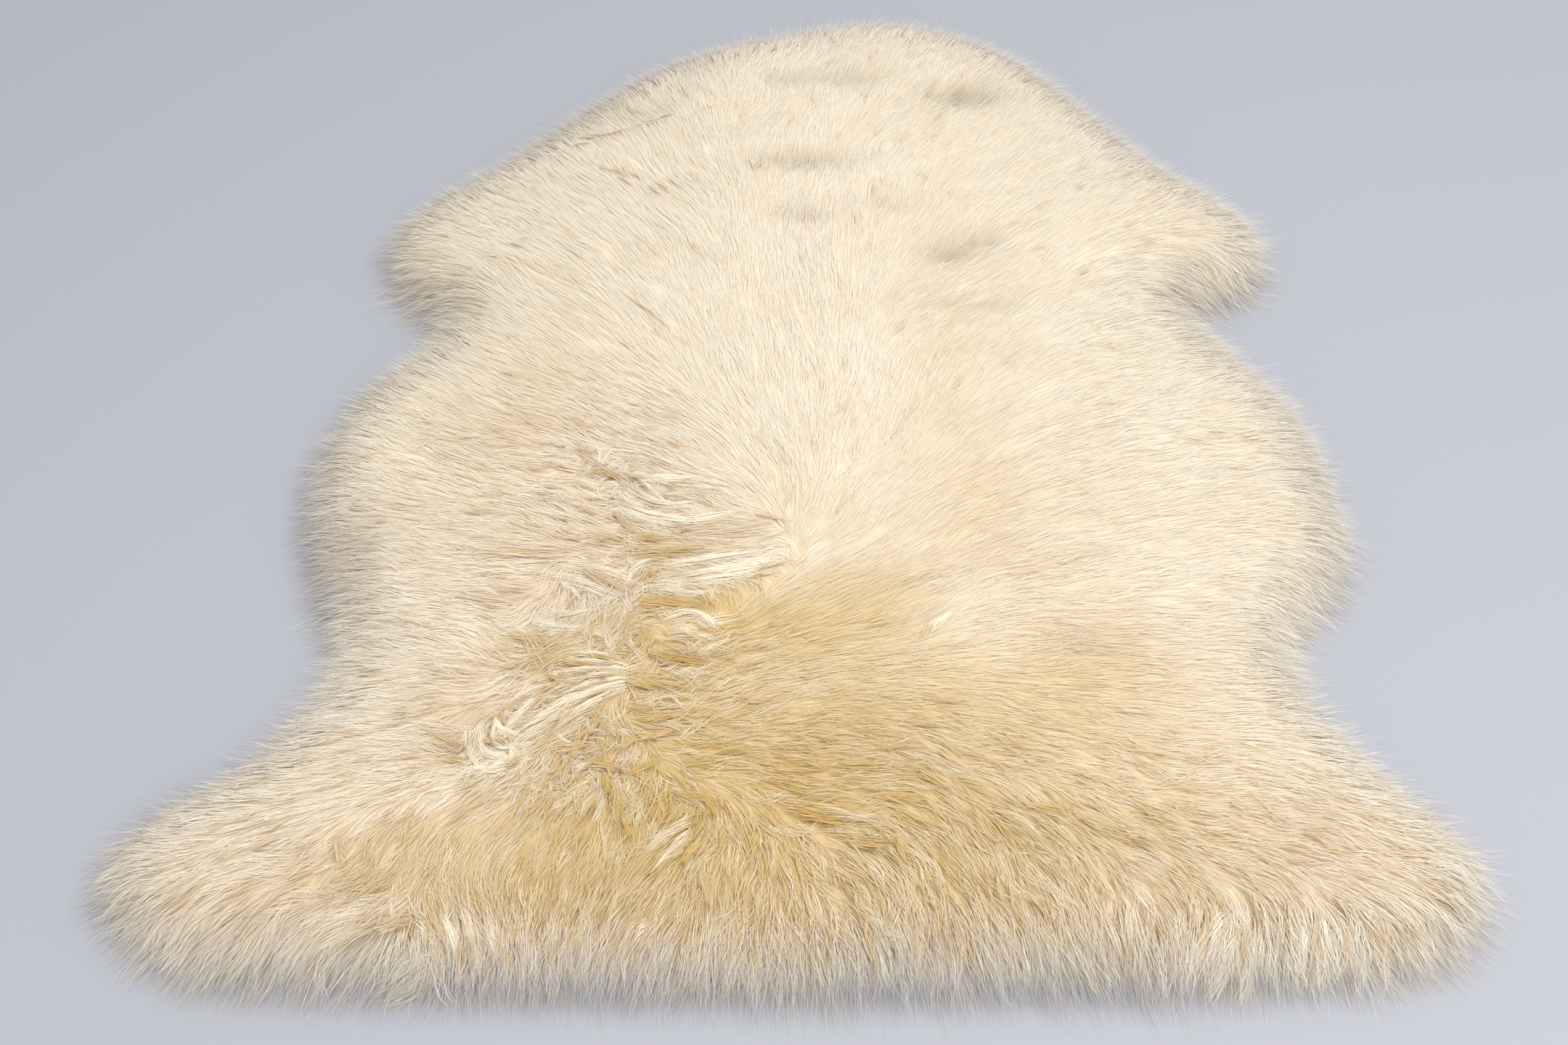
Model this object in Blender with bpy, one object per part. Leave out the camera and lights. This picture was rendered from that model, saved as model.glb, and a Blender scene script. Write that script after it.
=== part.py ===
"""A single long-wool sheepskin rug, lying flat.

The rug is one piece: a tanned hide with its fleece on. The solid is the body
of that fleece. It has a flat underside where the hide lies on the floor, a
soft rim where the wool hangs over the cut edge, and a low crown along the
spine. Metres, +Z up. +Y points to the neck and +X to the animal's right-hand
side as it is laid out, wool up. The origin is on the floor, at the middle of
the rug's length and width.
"""

import math

import bmesh
import bpy
from mathutils import Vector

# Driving dimensions.
RUG_LENGTH = 1.044  # neck to tail, over the wool
RUG_WIDTH = 0.954  # across the hind legs, over the wool
CROWN_HEIGHT = 0.055  # floor to the top of the wool along the spine
RIM_HEIGHT = 0.010  # where the overhanging wool is widest
FLOOR_INSET = 0.015  # the wool curls in under the rim by this much

# The skin's outline, clockwise from the nape, as it is cut and combed out.
# Across is a share of half the width, along is a share of half the length.
OUTLINE = (
    # landmark, across, along
    ("nape", 0.210, 1.000),
    ("neck corner, right", 0.457, 0.905),
    ("neck, right", 0.608, 0.738),
    ("shoulder, right", 0.736, 0.577),
    ("foreleg top, right", 0.839, 0.485),
    ("foreleg tip, right", 0.899, 0.383),
    ("foreleg sole, right", 0.870, 0.287),
    ("armpit, right", 0.748, 0.215),
    ("chest, right", 0.792, 0.119),
    ("belly top, right", 0.880, 0.000),
    ("belly, right", 0.918, -0.172),
    ("flank, right", 0.910, -0.326),
    ("waist, right", 0.788, -0.494),
    ("thigh, right", 0.891, -0.686),
    ("hind leg top, right", 0.981, -0.789),
    ("hind leg tip, right", 1.000, -0.852),
    ("hind leg sole, right", 0.935, -0.945),
    ("rump, right", 0.692, -0.985),
    ("rump middle, right", 0.346, -0.994),
    ("tail", -0.013, -1.000),
    ("rump middle, left", -0.346, -0.994),
    ("rump, left", -0.692, -0.990),
    ("hind leg sole, left", -0.895, -0.955),
    ("hind leg tip, left", -1.000, -0.843),
    ("hind leg top, left", -0.948, -0.751),
    ("thigh, left", -0.828, -0.667),
    ("waist, left", -0.721, -0.502),
    ("flank, left", -0.767, -0.370),
    ("belly, left", -0.816, -0.163),
    ("belly top, left", -0.765, 0.015),
    ("armpit, left", -0.646, 0.182),
    ("foreleg sole, left", -0.723, 0.268),
    ("foreleg tip, left", -0.763, 0.383),
    ("foreleg top, left", -0.692, 0.494),
    ("shoulder, left", -0.587, 0.577),
    ("neck, left", -0.430, 0.732),
    ("neck corner, left", -0.258, 0.875),
    ("nape, left", -0.031, 0.964),
)
POINTS_PER_LANDMARK = 5

# The spine, from tail to nape, which the inner rings close in on.
SPINE_TAIL = Vector((0.000, -0.340))
SPINE_NAPE = Vector((0.060, 0.370))

# The fleece's profile from the floor up and inwards. Inset is measured square
# to the outline, and after it the ring goes a share of the way to the spine.
PROFILE = (
    # ring, inset, share of the way to the spine, height
    ("floor line", FLOOR_INSET, 0.00, 0.000),
    ("overhang", 0.000, 0.00, RIM_HEIGHT),
    ("shoulder", 0.009, 0.00, 0.024),
    ("brow", 0.021, 0.00, 0.036),
    ("slope", 0.024, 0.08, 0.044),
    ("crown", 0.024, 0.35, 0.052),
    ("ridge", 0.024, 0.78, CROWN_HEIGHT),
)
SWELL_HEIGHT = 0.002  # the slope and crown rise and sink by this much
SWELLS = 9  # round the rug
SWELLING_RINGS = ("slope", "crown")

WOOL_COLOUR = (0.83, 0.74, 0.56, 1.0)
WOOL_ROUGHNESS = 0.85


def empty_scene():
    """Removes whatever the file starts with."""
    for item in list(bpy.data.objects):
        bpy.data.objects.remove(item, do_unlink=True)


def new_collection(name):
    collection = bpy.data.collections.new(name)
    bpy.context.scene.collection.children.link(collection)
    return collection


def wool_material():
    """Cream wool, matt."""
    material = bpy.data.materials.new("wool")
    material.use_nodes = True
    shader = material.node_tree.nodes["Principled BSDF"]
    shader.inputs["Base Color"].default_value = WOOL_COLOUR
    shader.inputs["Roughness"].default_value = WOOL_ROUGHNESS
    shader.inputs["Metallic"].default_value = 0.0
    return material


def outline_points():
    """The outline as a smooth closed curve through the landmarks, in plan."""
    curve = bpy.data.curves.new("outline", "CURVE")
    curve.dimensions = "2D"
    curve.fill_mode = "NONE"
    curve.resolution_u = POINTS_PER_LANDMARK
    spline = curve.splines.new("BEZIER")
    spline.bezier_points.add(len(OUTLINE) - 1)
    spline.use_cyclic_u = True
    for point, (_, across, along) in zip(spline.bezier_points, OUTLINE):
        point.co = (across * RUG_WIDTH / 2, along * RUG_LENGTH / 2, 0.0)
        point.handle_left_type = "AUTO"
        point.handle_right_type = "AUTO"
    guide = bpy.data.objects.new("outline", curve)
    bpy.context.scene.collection.objects.link(guide)
    evaluated = guide.evaluated_get(bpy.context.evaluated_depsgraph_get())
    line = bpy.data.meshes.new_from_object(evaluated)
    points = [vertex.co.xy for vertex in line.vertices]
    bpy.data.objects.remove(guide, do_unlink=True)
    bpy.data.curves.remove(curve)
    bpy.data.meshes.remove(line)
    return points


def fitted(points):
    """The outline centred on the origin, at exactly the rug's length and width."""
    low = Vector((min(point.x for point in points), min(point.y for point in points)))
    high = Vector((max(point.x for point in points), max(point.y for point in points)))
    middle = (low + high) / 2
    stretch = Vector((RUG_WIDTH / (high.x - low.x), RUG_LENGTH / (high.y - low.y)))
    return [(point - middle) * stretch for point in points]


def inward_normals(points):
    """At each point of a clockwise outline, the unit vector square to it, inwards."""
    count = len(points)
    normals = []
    for i in range(count):
        along = (points[(i + 1) % count] - points[i - 1]).normalized()
        normals.append(Vector((along.y, -along.x)))
    return normals


def nearest_on_spine(point):
    """The spine's point nearest to this one."""
    spine = SPINE_NAPE - SPINE_TAIL
    share = (point - SPINE_TAIL).dot(spine) / spine.length_squared
    return SPINE_TAIL + spine * min(max(share, 0.0), 1.0)


def ring_places(points, normals, ring):
    """Where each vertex of one ring of the profile lies."""
    name, inset, share, height = ring
    places = []
    for i, (point, normal) in enumerate(zip(points, normals)):
        plan = point + normal * inset
        plan = plan.lerp(nearest_on_spine(plan), share)
        swell = 0.0
        if name in SWELLING_RINGS:
            swell = SWELL_HEIGHT * math.sin(2 * math.pi * SWELLS * i / len(points))
        places.append(Vector((plan.x, plan.y, height + swell)))
    return places


def grow_ring(body, edges, turn_of, places):
    """Extrudes a ring of edges to the next ring's places."""
    grown = bmesh.ops.extrude_edge_only(body, edges=edges)["geom"]
    new_vertices = [item for item in grown if isinstance(item, bmesh.types.BMVert)]
    new_edges = [
        item
        for item in grown
        if isinstance(item, bmesh.types.BMEdge)
        and all(vertex in new_vertices for vertex in item.verts)
    ]
    new_turns = {}
    for vertex in new_vertices:
        for edge in vertex.link_edges:
            below = edge.other_vert(vertex)
            if below in turn_of:
                new_turns[vertex] = turn_of[below]
    for vertex, turn in new_turns.items():
        vertex.co = places[turn]
    return new_edges, new_turns


def fleece(collection):
    """The fleece's body: rings from the floor line up over the rim to the ridge."""
    points = fitted(outline_points())
    normals = inward_normals(points)
    rings = [ring_places(points, normals, ring) for ring in PROFILE]
    body = bmesh.new()
    vertices = [body.verts.new(place) for place in rings[0]]
    underside = body.faces.new(vertices)
    edges = list(underside.edges)
    turn_of = {vertex: turn for turn, vertex in enumerate(vertices)}
    for places in rings[1:]:
        edges, turn_of = grow_ring(body, edges, turn_of, places)
    bmesh.ops.contextual_create(body, geom=edges)
    bmesh.ops.recalc_face_normals(body, faces=body.faces[:])
    mesh = bpy.data.meshes.new("sheepskin")
    body.to_mesh(mesh)
    body.free()
    mesh.shade_smooth()
    mesh.materials.append(wool_material())
    piece = bpy.data.objects.new("sheepskin", mesh)
    collection.objects.link(piece)
    return piece


empty_scene()
rug = new_collection("sheepskin_rug")
sheepskin = fleece(rug)
low = [min(vertex.co[axis] for vertex in sheepskin.data.vertices) for axis in range(3)]
high = [max(vertex.co[axis] for vertex in sheepskin.data.vertices) for axis in range(3)]
print("sheepskin", [round(value, 4) for value in low], [round(value, 4) for value in high])
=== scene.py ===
# %% [markdown]
# # A long-wool sheepskin rug
#
# The real rug is one tanned sheep hide with its fleece still on, laid flat with the wool up. The
# wool is combed out from the spine, so it runs over the edge of the hide and hides it. This
# lesson builds the rug in the order in which a tannery would look at it: the hide, the dense
# wool close to it, and then the long combed locks that give the rug its look.
#
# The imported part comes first. It is a fixed frame that says how big the rug is and how high the
# wool stands at each place, and every piece below is measured from it.

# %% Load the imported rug
import math

import bmesh
import bpy
import numpy as np
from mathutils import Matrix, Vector
from mathutils.bvhtree import BVHTree


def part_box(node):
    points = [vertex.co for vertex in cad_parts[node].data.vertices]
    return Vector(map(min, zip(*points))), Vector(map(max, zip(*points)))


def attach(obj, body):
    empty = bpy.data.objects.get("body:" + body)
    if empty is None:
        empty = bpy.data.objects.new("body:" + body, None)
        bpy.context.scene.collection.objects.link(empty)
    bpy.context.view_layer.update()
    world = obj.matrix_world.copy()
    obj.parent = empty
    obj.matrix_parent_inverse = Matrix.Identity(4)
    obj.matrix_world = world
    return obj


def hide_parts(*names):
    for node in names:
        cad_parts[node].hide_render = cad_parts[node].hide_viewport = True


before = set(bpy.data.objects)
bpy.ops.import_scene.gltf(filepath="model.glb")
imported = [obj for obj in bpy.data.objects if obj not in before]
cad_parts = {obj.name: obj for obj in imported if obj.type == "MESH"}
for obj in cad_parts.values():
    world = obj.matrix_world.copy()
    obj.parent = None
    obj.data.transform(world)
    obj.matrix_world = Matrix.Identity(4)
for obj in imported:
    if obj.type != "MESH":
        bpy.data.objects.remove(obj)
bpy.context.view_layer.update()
cad_low, cad_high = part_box("sheepskin")
rug_size = cad_high - cad_low
print("the rug is", [round(side, 3) for side in rug_size], "metres")

# %% [markdown]
# ## The cut edge
#
# The wool is widest a little above the floor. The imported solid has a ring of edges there, so the
# outline is read from a copy of it, and stays true if the part changes: everything below that
# height is cut away, and the edge that is left open is walked round once.


# %% The outline of the wool
def frame_solid():
    """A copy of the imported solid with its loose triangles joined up."""
    body = bmesh.new()
    body.from_mesh(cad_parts["sheepskin"].data)
    bmesh.ops.remove_doubles(body, verts=body.verts[:], dist=1e-6)
    return body


def open_edge(body):
    """The points of a mesh's one open edge, in order, in plan."""
    start = next(edge for edge in body.edges if edge.is_boundary)
    first, at = start.verts
    points, last = [first.co.xy.to_tuple()], start
    while at is not first:
        points.append(at.co.xy.to_tuple())
        last = next(edge for edge in at.link_edges if edge.is_boundary and edge is not last)
        at = last.other_vert(at)
    return np.array(points)


solid = frame_solid()
surface = BVHTree.FromBMesh(solid)
rim_height = max(solid.verts, key=lambda vertex: vertex.co.y).co.z
bmesh.ops.bisect_plane(
    solid,
    geom=solid.verts[:] + solid.edges[:] + solid.faces[:],
    plane_co=(0, 0, rim_height),
    plane_no=(0, 0, 1),
    clear_inner=True,
)
outline = open_edge(solid)
solid.free()
if np.cross(outline, np.roll(outline, -1, 0)).sum() < 0:
    outline = outline[::-1]
print("the outline has", len(outline), "points, and is widest at", round(rim_height, 4))

# %% [markdown]
# ## Charts of the rug
#
# Wool has to know where it is: how high the fleece stands there, how far the edge is, and which
# way the comb went. Each of these is worked out once on a square grid over the rug's plan, and
# read between the grid's points afterwards, which is quick enough to ask for every strand.

# %% Charts
CHART_STEP = 0.004
CHART_MARGIN = 0.06


class Chart:
    """Numbers on a square grid over the plan, read at any point of it."""

    def __init__(self, values, step=CHART_STEP):
        self.values, self.step = values, step
        self.across = np.arange(cad_low.x - CHART_MARGIN, cad_high.x + CHART_MARGIN, step)
        self.along = np.arange(cad_low.y - CHART_MARGIN, cad_high.y + CHART_MARGIN, step)

    def at(self, x, y):
        """The number at each of these points, between the four nearest ones of the grid."""
        column = np.clip((x - self.across[0]) / self.step, 0, len(self.across) - 1.001)
        row = np.clip((y - self.along[0]) / self.step, 0, len(self.along) - 1.001)
        i, j = column.astype(int), row.astype(int)
        u, v = column - i, row - j
        near = self.values[j, i] * (1 - u) + self.values[j, i + 1] * u
        far = self.values[j + 1, i] * (1 - u) + self.values[j + 1, i + 1] * u
        return near * (1 - v) + far * v


grid = Chart(None)
plan_x, plan_y = np.meshgrid(grid.across, grid.along)
print("charts have", plan_x.shape, "points")

# %% [markdown]
# ## Height and distance from the edge
#
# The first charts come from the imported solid. The fleece's height is felt with a ray from above.
# The distance is measured in plan, from the outline's own points, because the nearest place of
# the solid may be its slope and not its edge. Where that distance falls is the way outwards.


# %% Height and distance from the edge
def softened(values, times):
    """The chart with each number shared with its neighbours, so many times over."""
    for _ in range(times):
        wide = np.pad(values, 1, mode="edge")
        values = (wide[:-2, 1:-1] + 2 * values + wide[2:, 1:-1]) / 4
        wide = np.pad(values, 1, mode="edge")
        values = (wide[1:-1, :-2] + 2 * values + wide[1:-1, 2:]) / 4
    return values


def edge_distance():
    """How far in from the outline each point of the grid is, less than 0 outside."""
    nearest = np.full(plan_x.shape, 1e9)
    inside = np.zeros(plan_x.shape, bool)
    for (ax, ay), (bx, by) in zip(outline, np.roll(outline, -1, 0)):
        dx, dy = bx - ax, by - ay
        share = np.clip(((plan_x - ax) * dx + (plan_y - ay) * dy) / (dx * dx + dy * dy), 0, 1)
        gap = np.hypot(plan_x - ax - share * dx, plan_y - ay - share * dy)
        nearest = np.minimum(nearest, gap)
        crosses = (ay > plan_y) != (by > plan_y)
        if dy:
            inside ^= crosses & (plan_x < ax + (plan_y - ay) * dx / dy)
    return np.where(inside, nearest, -nearest)


def fleece_height():
    """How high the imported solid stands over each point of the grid."""
    height = np.zeros(plan_x.shape)
    down = Vector((0, 0, -1))
    for row, column in np.argwhere(inset.values > -CHART_STEP):
        place = Vector((grid.across[column], grid.along[row], 1.0))
        hit = surface.ray_cast(place, down)[0]
        if hit:
            height[row, column] = hit.z
    return height


inset = Chart(edge_distance())
height = Chart(softened(fleece_height(), 2))
outward_x = Chart(-np.gradient(softened(inset.values, 4), axis=1) / CHART_STEP)
outward_y = Chart(-np.gradient(softened(inset.values, 4), axis=0) / CHART_STEP)
print("wool up to", round(height.values.max(), 4), "and", round(inset.values.max(), 3), "in")

# %% [markdown]
# ## Locks that lie their own way
#
# A hand pushed through the pile leaves locks that are lifted, crossed and curled. Random ones
# would not make this rug's own knots and waves, so the plain ones are listed here: where
# each starts, its heading and how far it turns on the way, in degrees, and how it lies.

# %% Locks that lie their own way
LIFTED = (
    # lock, across, along, heading, turn, length, half width, lift, pale
    ("flank comb, first", -0.200, -0.085, -28, 10, 0.060, 0.0060, 0.0016, 0.59),
    ("flank comb, second", -0.190, -0.105, -15, -10, 0.050, 0.0053, 0.0016, 0.68),
    ("knot, outer arc", -0.162, -0.104, 60, -150, 0.032, 0.0027, 0.0024, 0.26),
    ("knot, inner arc", -0.150, -0.108, 80, -160, 0.024, 0.0023, 0.0024, 0.38),
    ("knot, tail", -0.146, -0.111, 20, -60, 0.042, 0.0033, 0.0032, 0.64),
    ("crossing, under", -0.130, -0.112, 8, -30, 0.048, 0.0045, 0.0024, 0.68),
    ("fan, first", -0.110, -0.291, 168, 14, 0.052, 0.0022, 0.0032, 0.85),
    ("fan, second", -0.110, -0.293, 177, 10, 0.060, 0.0024, 0.0036, 0.85),
    ("fan, third", -0.109, -0.295, 184, 10, 0.064, 0.0024, 0.0036, 0.85),
    ("fan, fourth", -0.109, -0.297, 191, 12, 0.060, 0.0024, 0.0032, 0.85),
    ("fan, fifth", -0.109, -0.299, 199, 12, 0.066, 0.0027, 0.0032, 0.85),
    ("fan, sixth", -0.110, -0.301, 208, 12, 0.070, 0.0030, 0.0028, 0.77),
    ("fan, top", -0.118, -0.286, 158, 34, 0.044, 0.0027, 0.0028, 0.77),
    ("sheath, first", -0.182, -0.303, 222, 26, 0.048, 0.0045, 0.0028, 0.85),
    ("sheath, second", -0.176, -0.308, 227, 18, 0.052, 0.0045, 0.0028, 0.72),
    ("lower knot, left", -0.226, -0.332, 255, 80, 0.052, 0.0045, 0.0028, 0.85),
    ("lower knot, loop", -0.215, -0.330, 235, 150, 0.050, 0.0037, 0.0040, 0.85),
    ("lower knot, inner loop", -0.198, -0.332, 200, 210, 0.046, 0.0033, 0.0044, 0.85),
    ("lower knot, back loop", -0.190, -0.345, 190, -150, 0.036, 0.0030, 0.0040, 0.81),
    ("lower knot, across", -0.222, -0.354, -40, 60, 0.046, 0.0045, 0.0032, 0.85),
    ("lower knot, hook", -0.205, -0.352, -20, -170, 0.030, 0.0027, 0.0044, 0.85),
    ("lower knot, foot", -0.190, -0.364, 215, -40, 0.038, 0.0048, 0.0024, 0.81),
    ("hooks, first", -0.167, -0.337, 268, 130, 0.032, 0.0030, 0.0036, 0.85),
    ("hooks, second", -0.158, -0.352, 10, 110, 0.026, 0.0027, 0.0028, 0.64),
    ("hooks, third", -0.150, -0.352, 60, -130, 0.024, 0.0023, 0.0024, 0.51),
    ("hooks, fourth", -0.142, -0.345, 95, -160, 0.022, 0.0023, 0.0024, 0.42),
    ("flick", -0.129, -0.366, 202, 14, 0.026, 0.0024, 0.0036, 0.85),
    ("flick, right", -0.130, -0.372, -12, -24, 0.020, 0.0023, 0.0024, 0.72),
    ("flick, long", -0.170, -0.355, 200, 18, 0.055, 0.0030, 0.0020, 0.72),
    ("spray, first", -0.134, -0.378, 222, 12, 0.048, 0.0045, 0.0016, 0.47),
    ("spray, second", -0.131, -0.380, 243, 8, 0.044, 0.0045, 0.0020, 0.42),
    ("spray, third", -0.128, -0.381, 262, -8, 0.040, 0.0039, 0.0016, 0.47),
    ("spray, fourth", -0.124, -0.380, 284, -16, 0.038, 0.0039, 0.0016, 0.42),
    ("seam, over", -0.096, -0.388, -10, -52, 0.046, 0.0045, 0.0020, 0.51),
    ("seam, first", -0.060, -0.407, 212, 14, 0.052, 0.0042, 0.0020, 0.68),
    ("seam, second", -0.060, -0.417, 220, 16, 0.052, 0.0042, 0.0020, 0.68),
    ("seam, third", -0.050, -0.430, 228, 20, 0.040, 0.0042, 0.0016, 0.59),
    ("seam, right", 0.000, -0.404, -8, -14, 0.060, 0.0045, 0.0020, 0.51),
    ("seam, far right", 0.130, -0.405, -14, -50, 0.050, 0.0045, 0.0020, 0.51),
    ("sweep, first", -0.262, -0.466, 190, 26, 0.075, 0.0067, 0.0016, 0.64),
    ("sweep, second", -0.268, -0.474, 191, 42, 0.088, 0.0067, 0.0024, 0.68),
    ("sweep, third", -0.272, -0.483, 196, 40, 0.082, 0.0060, 0.0020, 0.59),
    ("sweep, front", -0.222, -0.494, 214, -32, 0.086, 0.0060, 0.0024, 0.64),
    ("sweep, low", -0.226, -0.502, 212, -18, 0.080, 0.0060, 0.0016, 0.47),
    ("turned tuft", -0.262, -0.478, -18, -62, 0.038, 0.0060, 0.0024, 0.59),
    ("tail lock, first", -0.236, -0.474, -58, -20, 0.050, 0.0033, 0.0024, 0.81),
    ("tail lock, second", -0.224, -0.468, -60, -24, 0.050, 0.0033, 0.0024, 0.81),
    ("tail lock, third", -0.206, -0.478, -64, -16, 0.048, 0.0033, 0.0020, 0.77),
    ("tail tuft", -0.086, -0.478, 212, 44, 0.050, 0.0051, 0.0024, 0.68),
    ("right tuft, first", 0.292, -0.476, 224, 12, 0.058, 0.0080, 0.0044, 0.95),
    ("right tuft, second", 0.302, -0.484, 232, 8, 0.050, 0.0066, 0.0036, 0.85),
    ("right tuft, curl", 0.290, -0.486, -50, -130, 0.062, 0.0050, 0.0030, 0.65),
    ("far right, first", 0.338, -0.478, 262, 24, 0.050, 0.0046, 0.0036, 0.85),
    ("far right, second", 0.350, -0.476, 268, 24, 0.050, 0.0046, 0.0036, 0.90),
    ("far right, third", 0.362, -0.480, 280, 30, 0.052, 0.0044, 0.0040, 0.90),
    ("crossing, over", -0.124, -0.104, -56, 12, 0.046, 0.0026, 0.0035, 0.90),
    ("wave, outer", -0.036, -0.140, 212, -85, 0.112, 0.0062, 0.0050, 0.90),
    ("wave, inner", -0.052, -0.119, 206, -50, 0.060, 0.0062, 0.0035, 0.40),
    ("wave, left first", -0.142, -0.118, -60, 88, 0.084, 0.0056, 0.0055, 0.80),
    ("wave, left second", -0.133, -0.113, -54, 80, 0.074, 0.0060, 0.0048, 0.50),
    ("wave, left third", -0.122, -0.110, -48, 66, 0.064, 0.0060, 0.0036, 0.40),
    ("wave, inmost", -0.060, -0.108, 200, -50, 0.070, 0.0056, 0.0020, 0.50),
    ("spine lock, first", -0.002, -0.172, 203, -22, 0.105, 0.0062, 0.0026, 0.80),
    ("spine lock, second", -0.003, -0.184, 206, -24, 0.106, 0.0062, 0.0026, 0.85),
    ("spine lock, third", -0.012, -0.196, 202, -18, 0.090, 0.0056, 0.0020, 0.65),
    ("hook", -0.100, -0.190, 190, 110, 0.040, 0.0036, 0.0030, 0.85),
    ("below the hook", -0.112, -0.214, -26, 40, 0.062, 0.0056, 0.0024, 0.70),
    ("diagonal, first", -0.196, -0.188, -14, -14, 0.088, 0.0072, 0.0032, 0.75),
    ("diagonal, second", -0.206, -0.203, -12, -14, 0.090, 0.0066, 0.0026, 0.60),
    ("flank flick", -0.178, -0.208, -46, 4, 0.032, 0.0034, 0.0030, 0.95),
    ("smile, first", -0.196, -0.232, -34, 62, 0.052, 0.0042, 0.0022, 0.60),
    ("smile, second", -0.200, -0.244, -34, 60, 0.056, 0.0042, 0.0022, 0.55),
    ("crest, first", -0.148, -0.244, 258, 50, 0.044, 0.0040, 0.0024, 0.50),
    ("crest, second", -0.136, -0.242, 265, 48, 0.046, 0.0040, 0.0026, 0.55),
    ("crest, third", -0.124, -0.243, 274, 40, 0.044, 0.0036, 0.0024, 0.50),
    ("round tuft, outer", -0.100, -0.248, 24, -104, 0.056, 0.0072, 0.0050, 0.85),
    ("round tuft, inner", -0.096, -0.260, 12, -64, 0.042, 0.0066, 0.0046, 0.80),
    ("sleeve, first", -0.158, -0.260, 214, 22, 0.064, 0.0086, 0.0042, 0.20),
    ("sleeve, second", -0.146, -0.268, 208, 26, 0.062, 0.0080, 0.0036, 0.25),
    ("sheath, broad first", -0.140, -0.306, 216, 14, 0.080, 0.0092, 0.0050, 0.45),
    ("sheath, broad second", -0.132, -0.320, 214, 14, 0.080, 0.0092, 0.0050, 0.35),
    ("sheath, broad third", -0.134, -0.333, 208, 16, 0.068, 0.0076, 0.0036, 0.30),
    ("hip flick", 0.096, -0.264, 58, -40, 0.034, 0.0032, 0.0022, 0.90),
    ("croup, bright", 0.060, -0.222, 22, -10, 0.070, 0.0080, 0.0012, 0.45),
    ("armpit bridge, first", -0.262, 0.112, 150, 22, 0.060, 0.0060, 0.0030, 0.35),
    ("armpit bridge, second", -0.258, 0.102, 158, 12, 0.064, 0.0056, 0.0020, 0.30),
)

print(len(LIFTED), "locks lie their own way")

# %% [markdown]
# ## The lines of those locks
#
# A lock is a line in plan before it is wool. Its heading turns more and more towards the tip, as
# a curl does. The lines are wanted this early because the wool round a lock is swept along with
# it, so the comb's direction depends on them.

# %% The lines of those locks
LOCK_STEPS = 12


def curled_lines(roots, lengths, headings, turns):
    """Lines that start at their own headings and turn more and more towards the tip."""
    share = (np.arange(LOCK_STEPS) + 0.5) / LOCK_STEPS
    angle = headings[:, None] + turns[:, None] * (0.5 * share + 0.5 * share**2)
    run = np.stack([np.cos(angle), np.sin(angle)], -1) * (lengths / LOCK_STEPS)[:, None, None]
    start = np.zeros((len(roots), 1, 2))
    return roots[:, None] + np.cumsum(np.concatenate([start, run], 1), 1)


named_locks = np.array([row[1:] for row in LIFTED])
named_lines = curled_lines(
    named_locks[:, :2],
    named_locks[:, 4],
    np.radians(named_locks[:, 2]),
    np.radians(named_locks[:, 3]),
)
print("their lines have", LOCK_STEPS, "steps")

# %% [markdown]
# ## Which way the comb went
#
# Combed wool fans out from a few roots along the spine. Guide hairs drawn by hand would show it,
# but a table can be read and put right. Each row is a place where the comb's direction is plain,
# in degrees turned left from +X, which is the rug's right-hand side.

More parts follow.
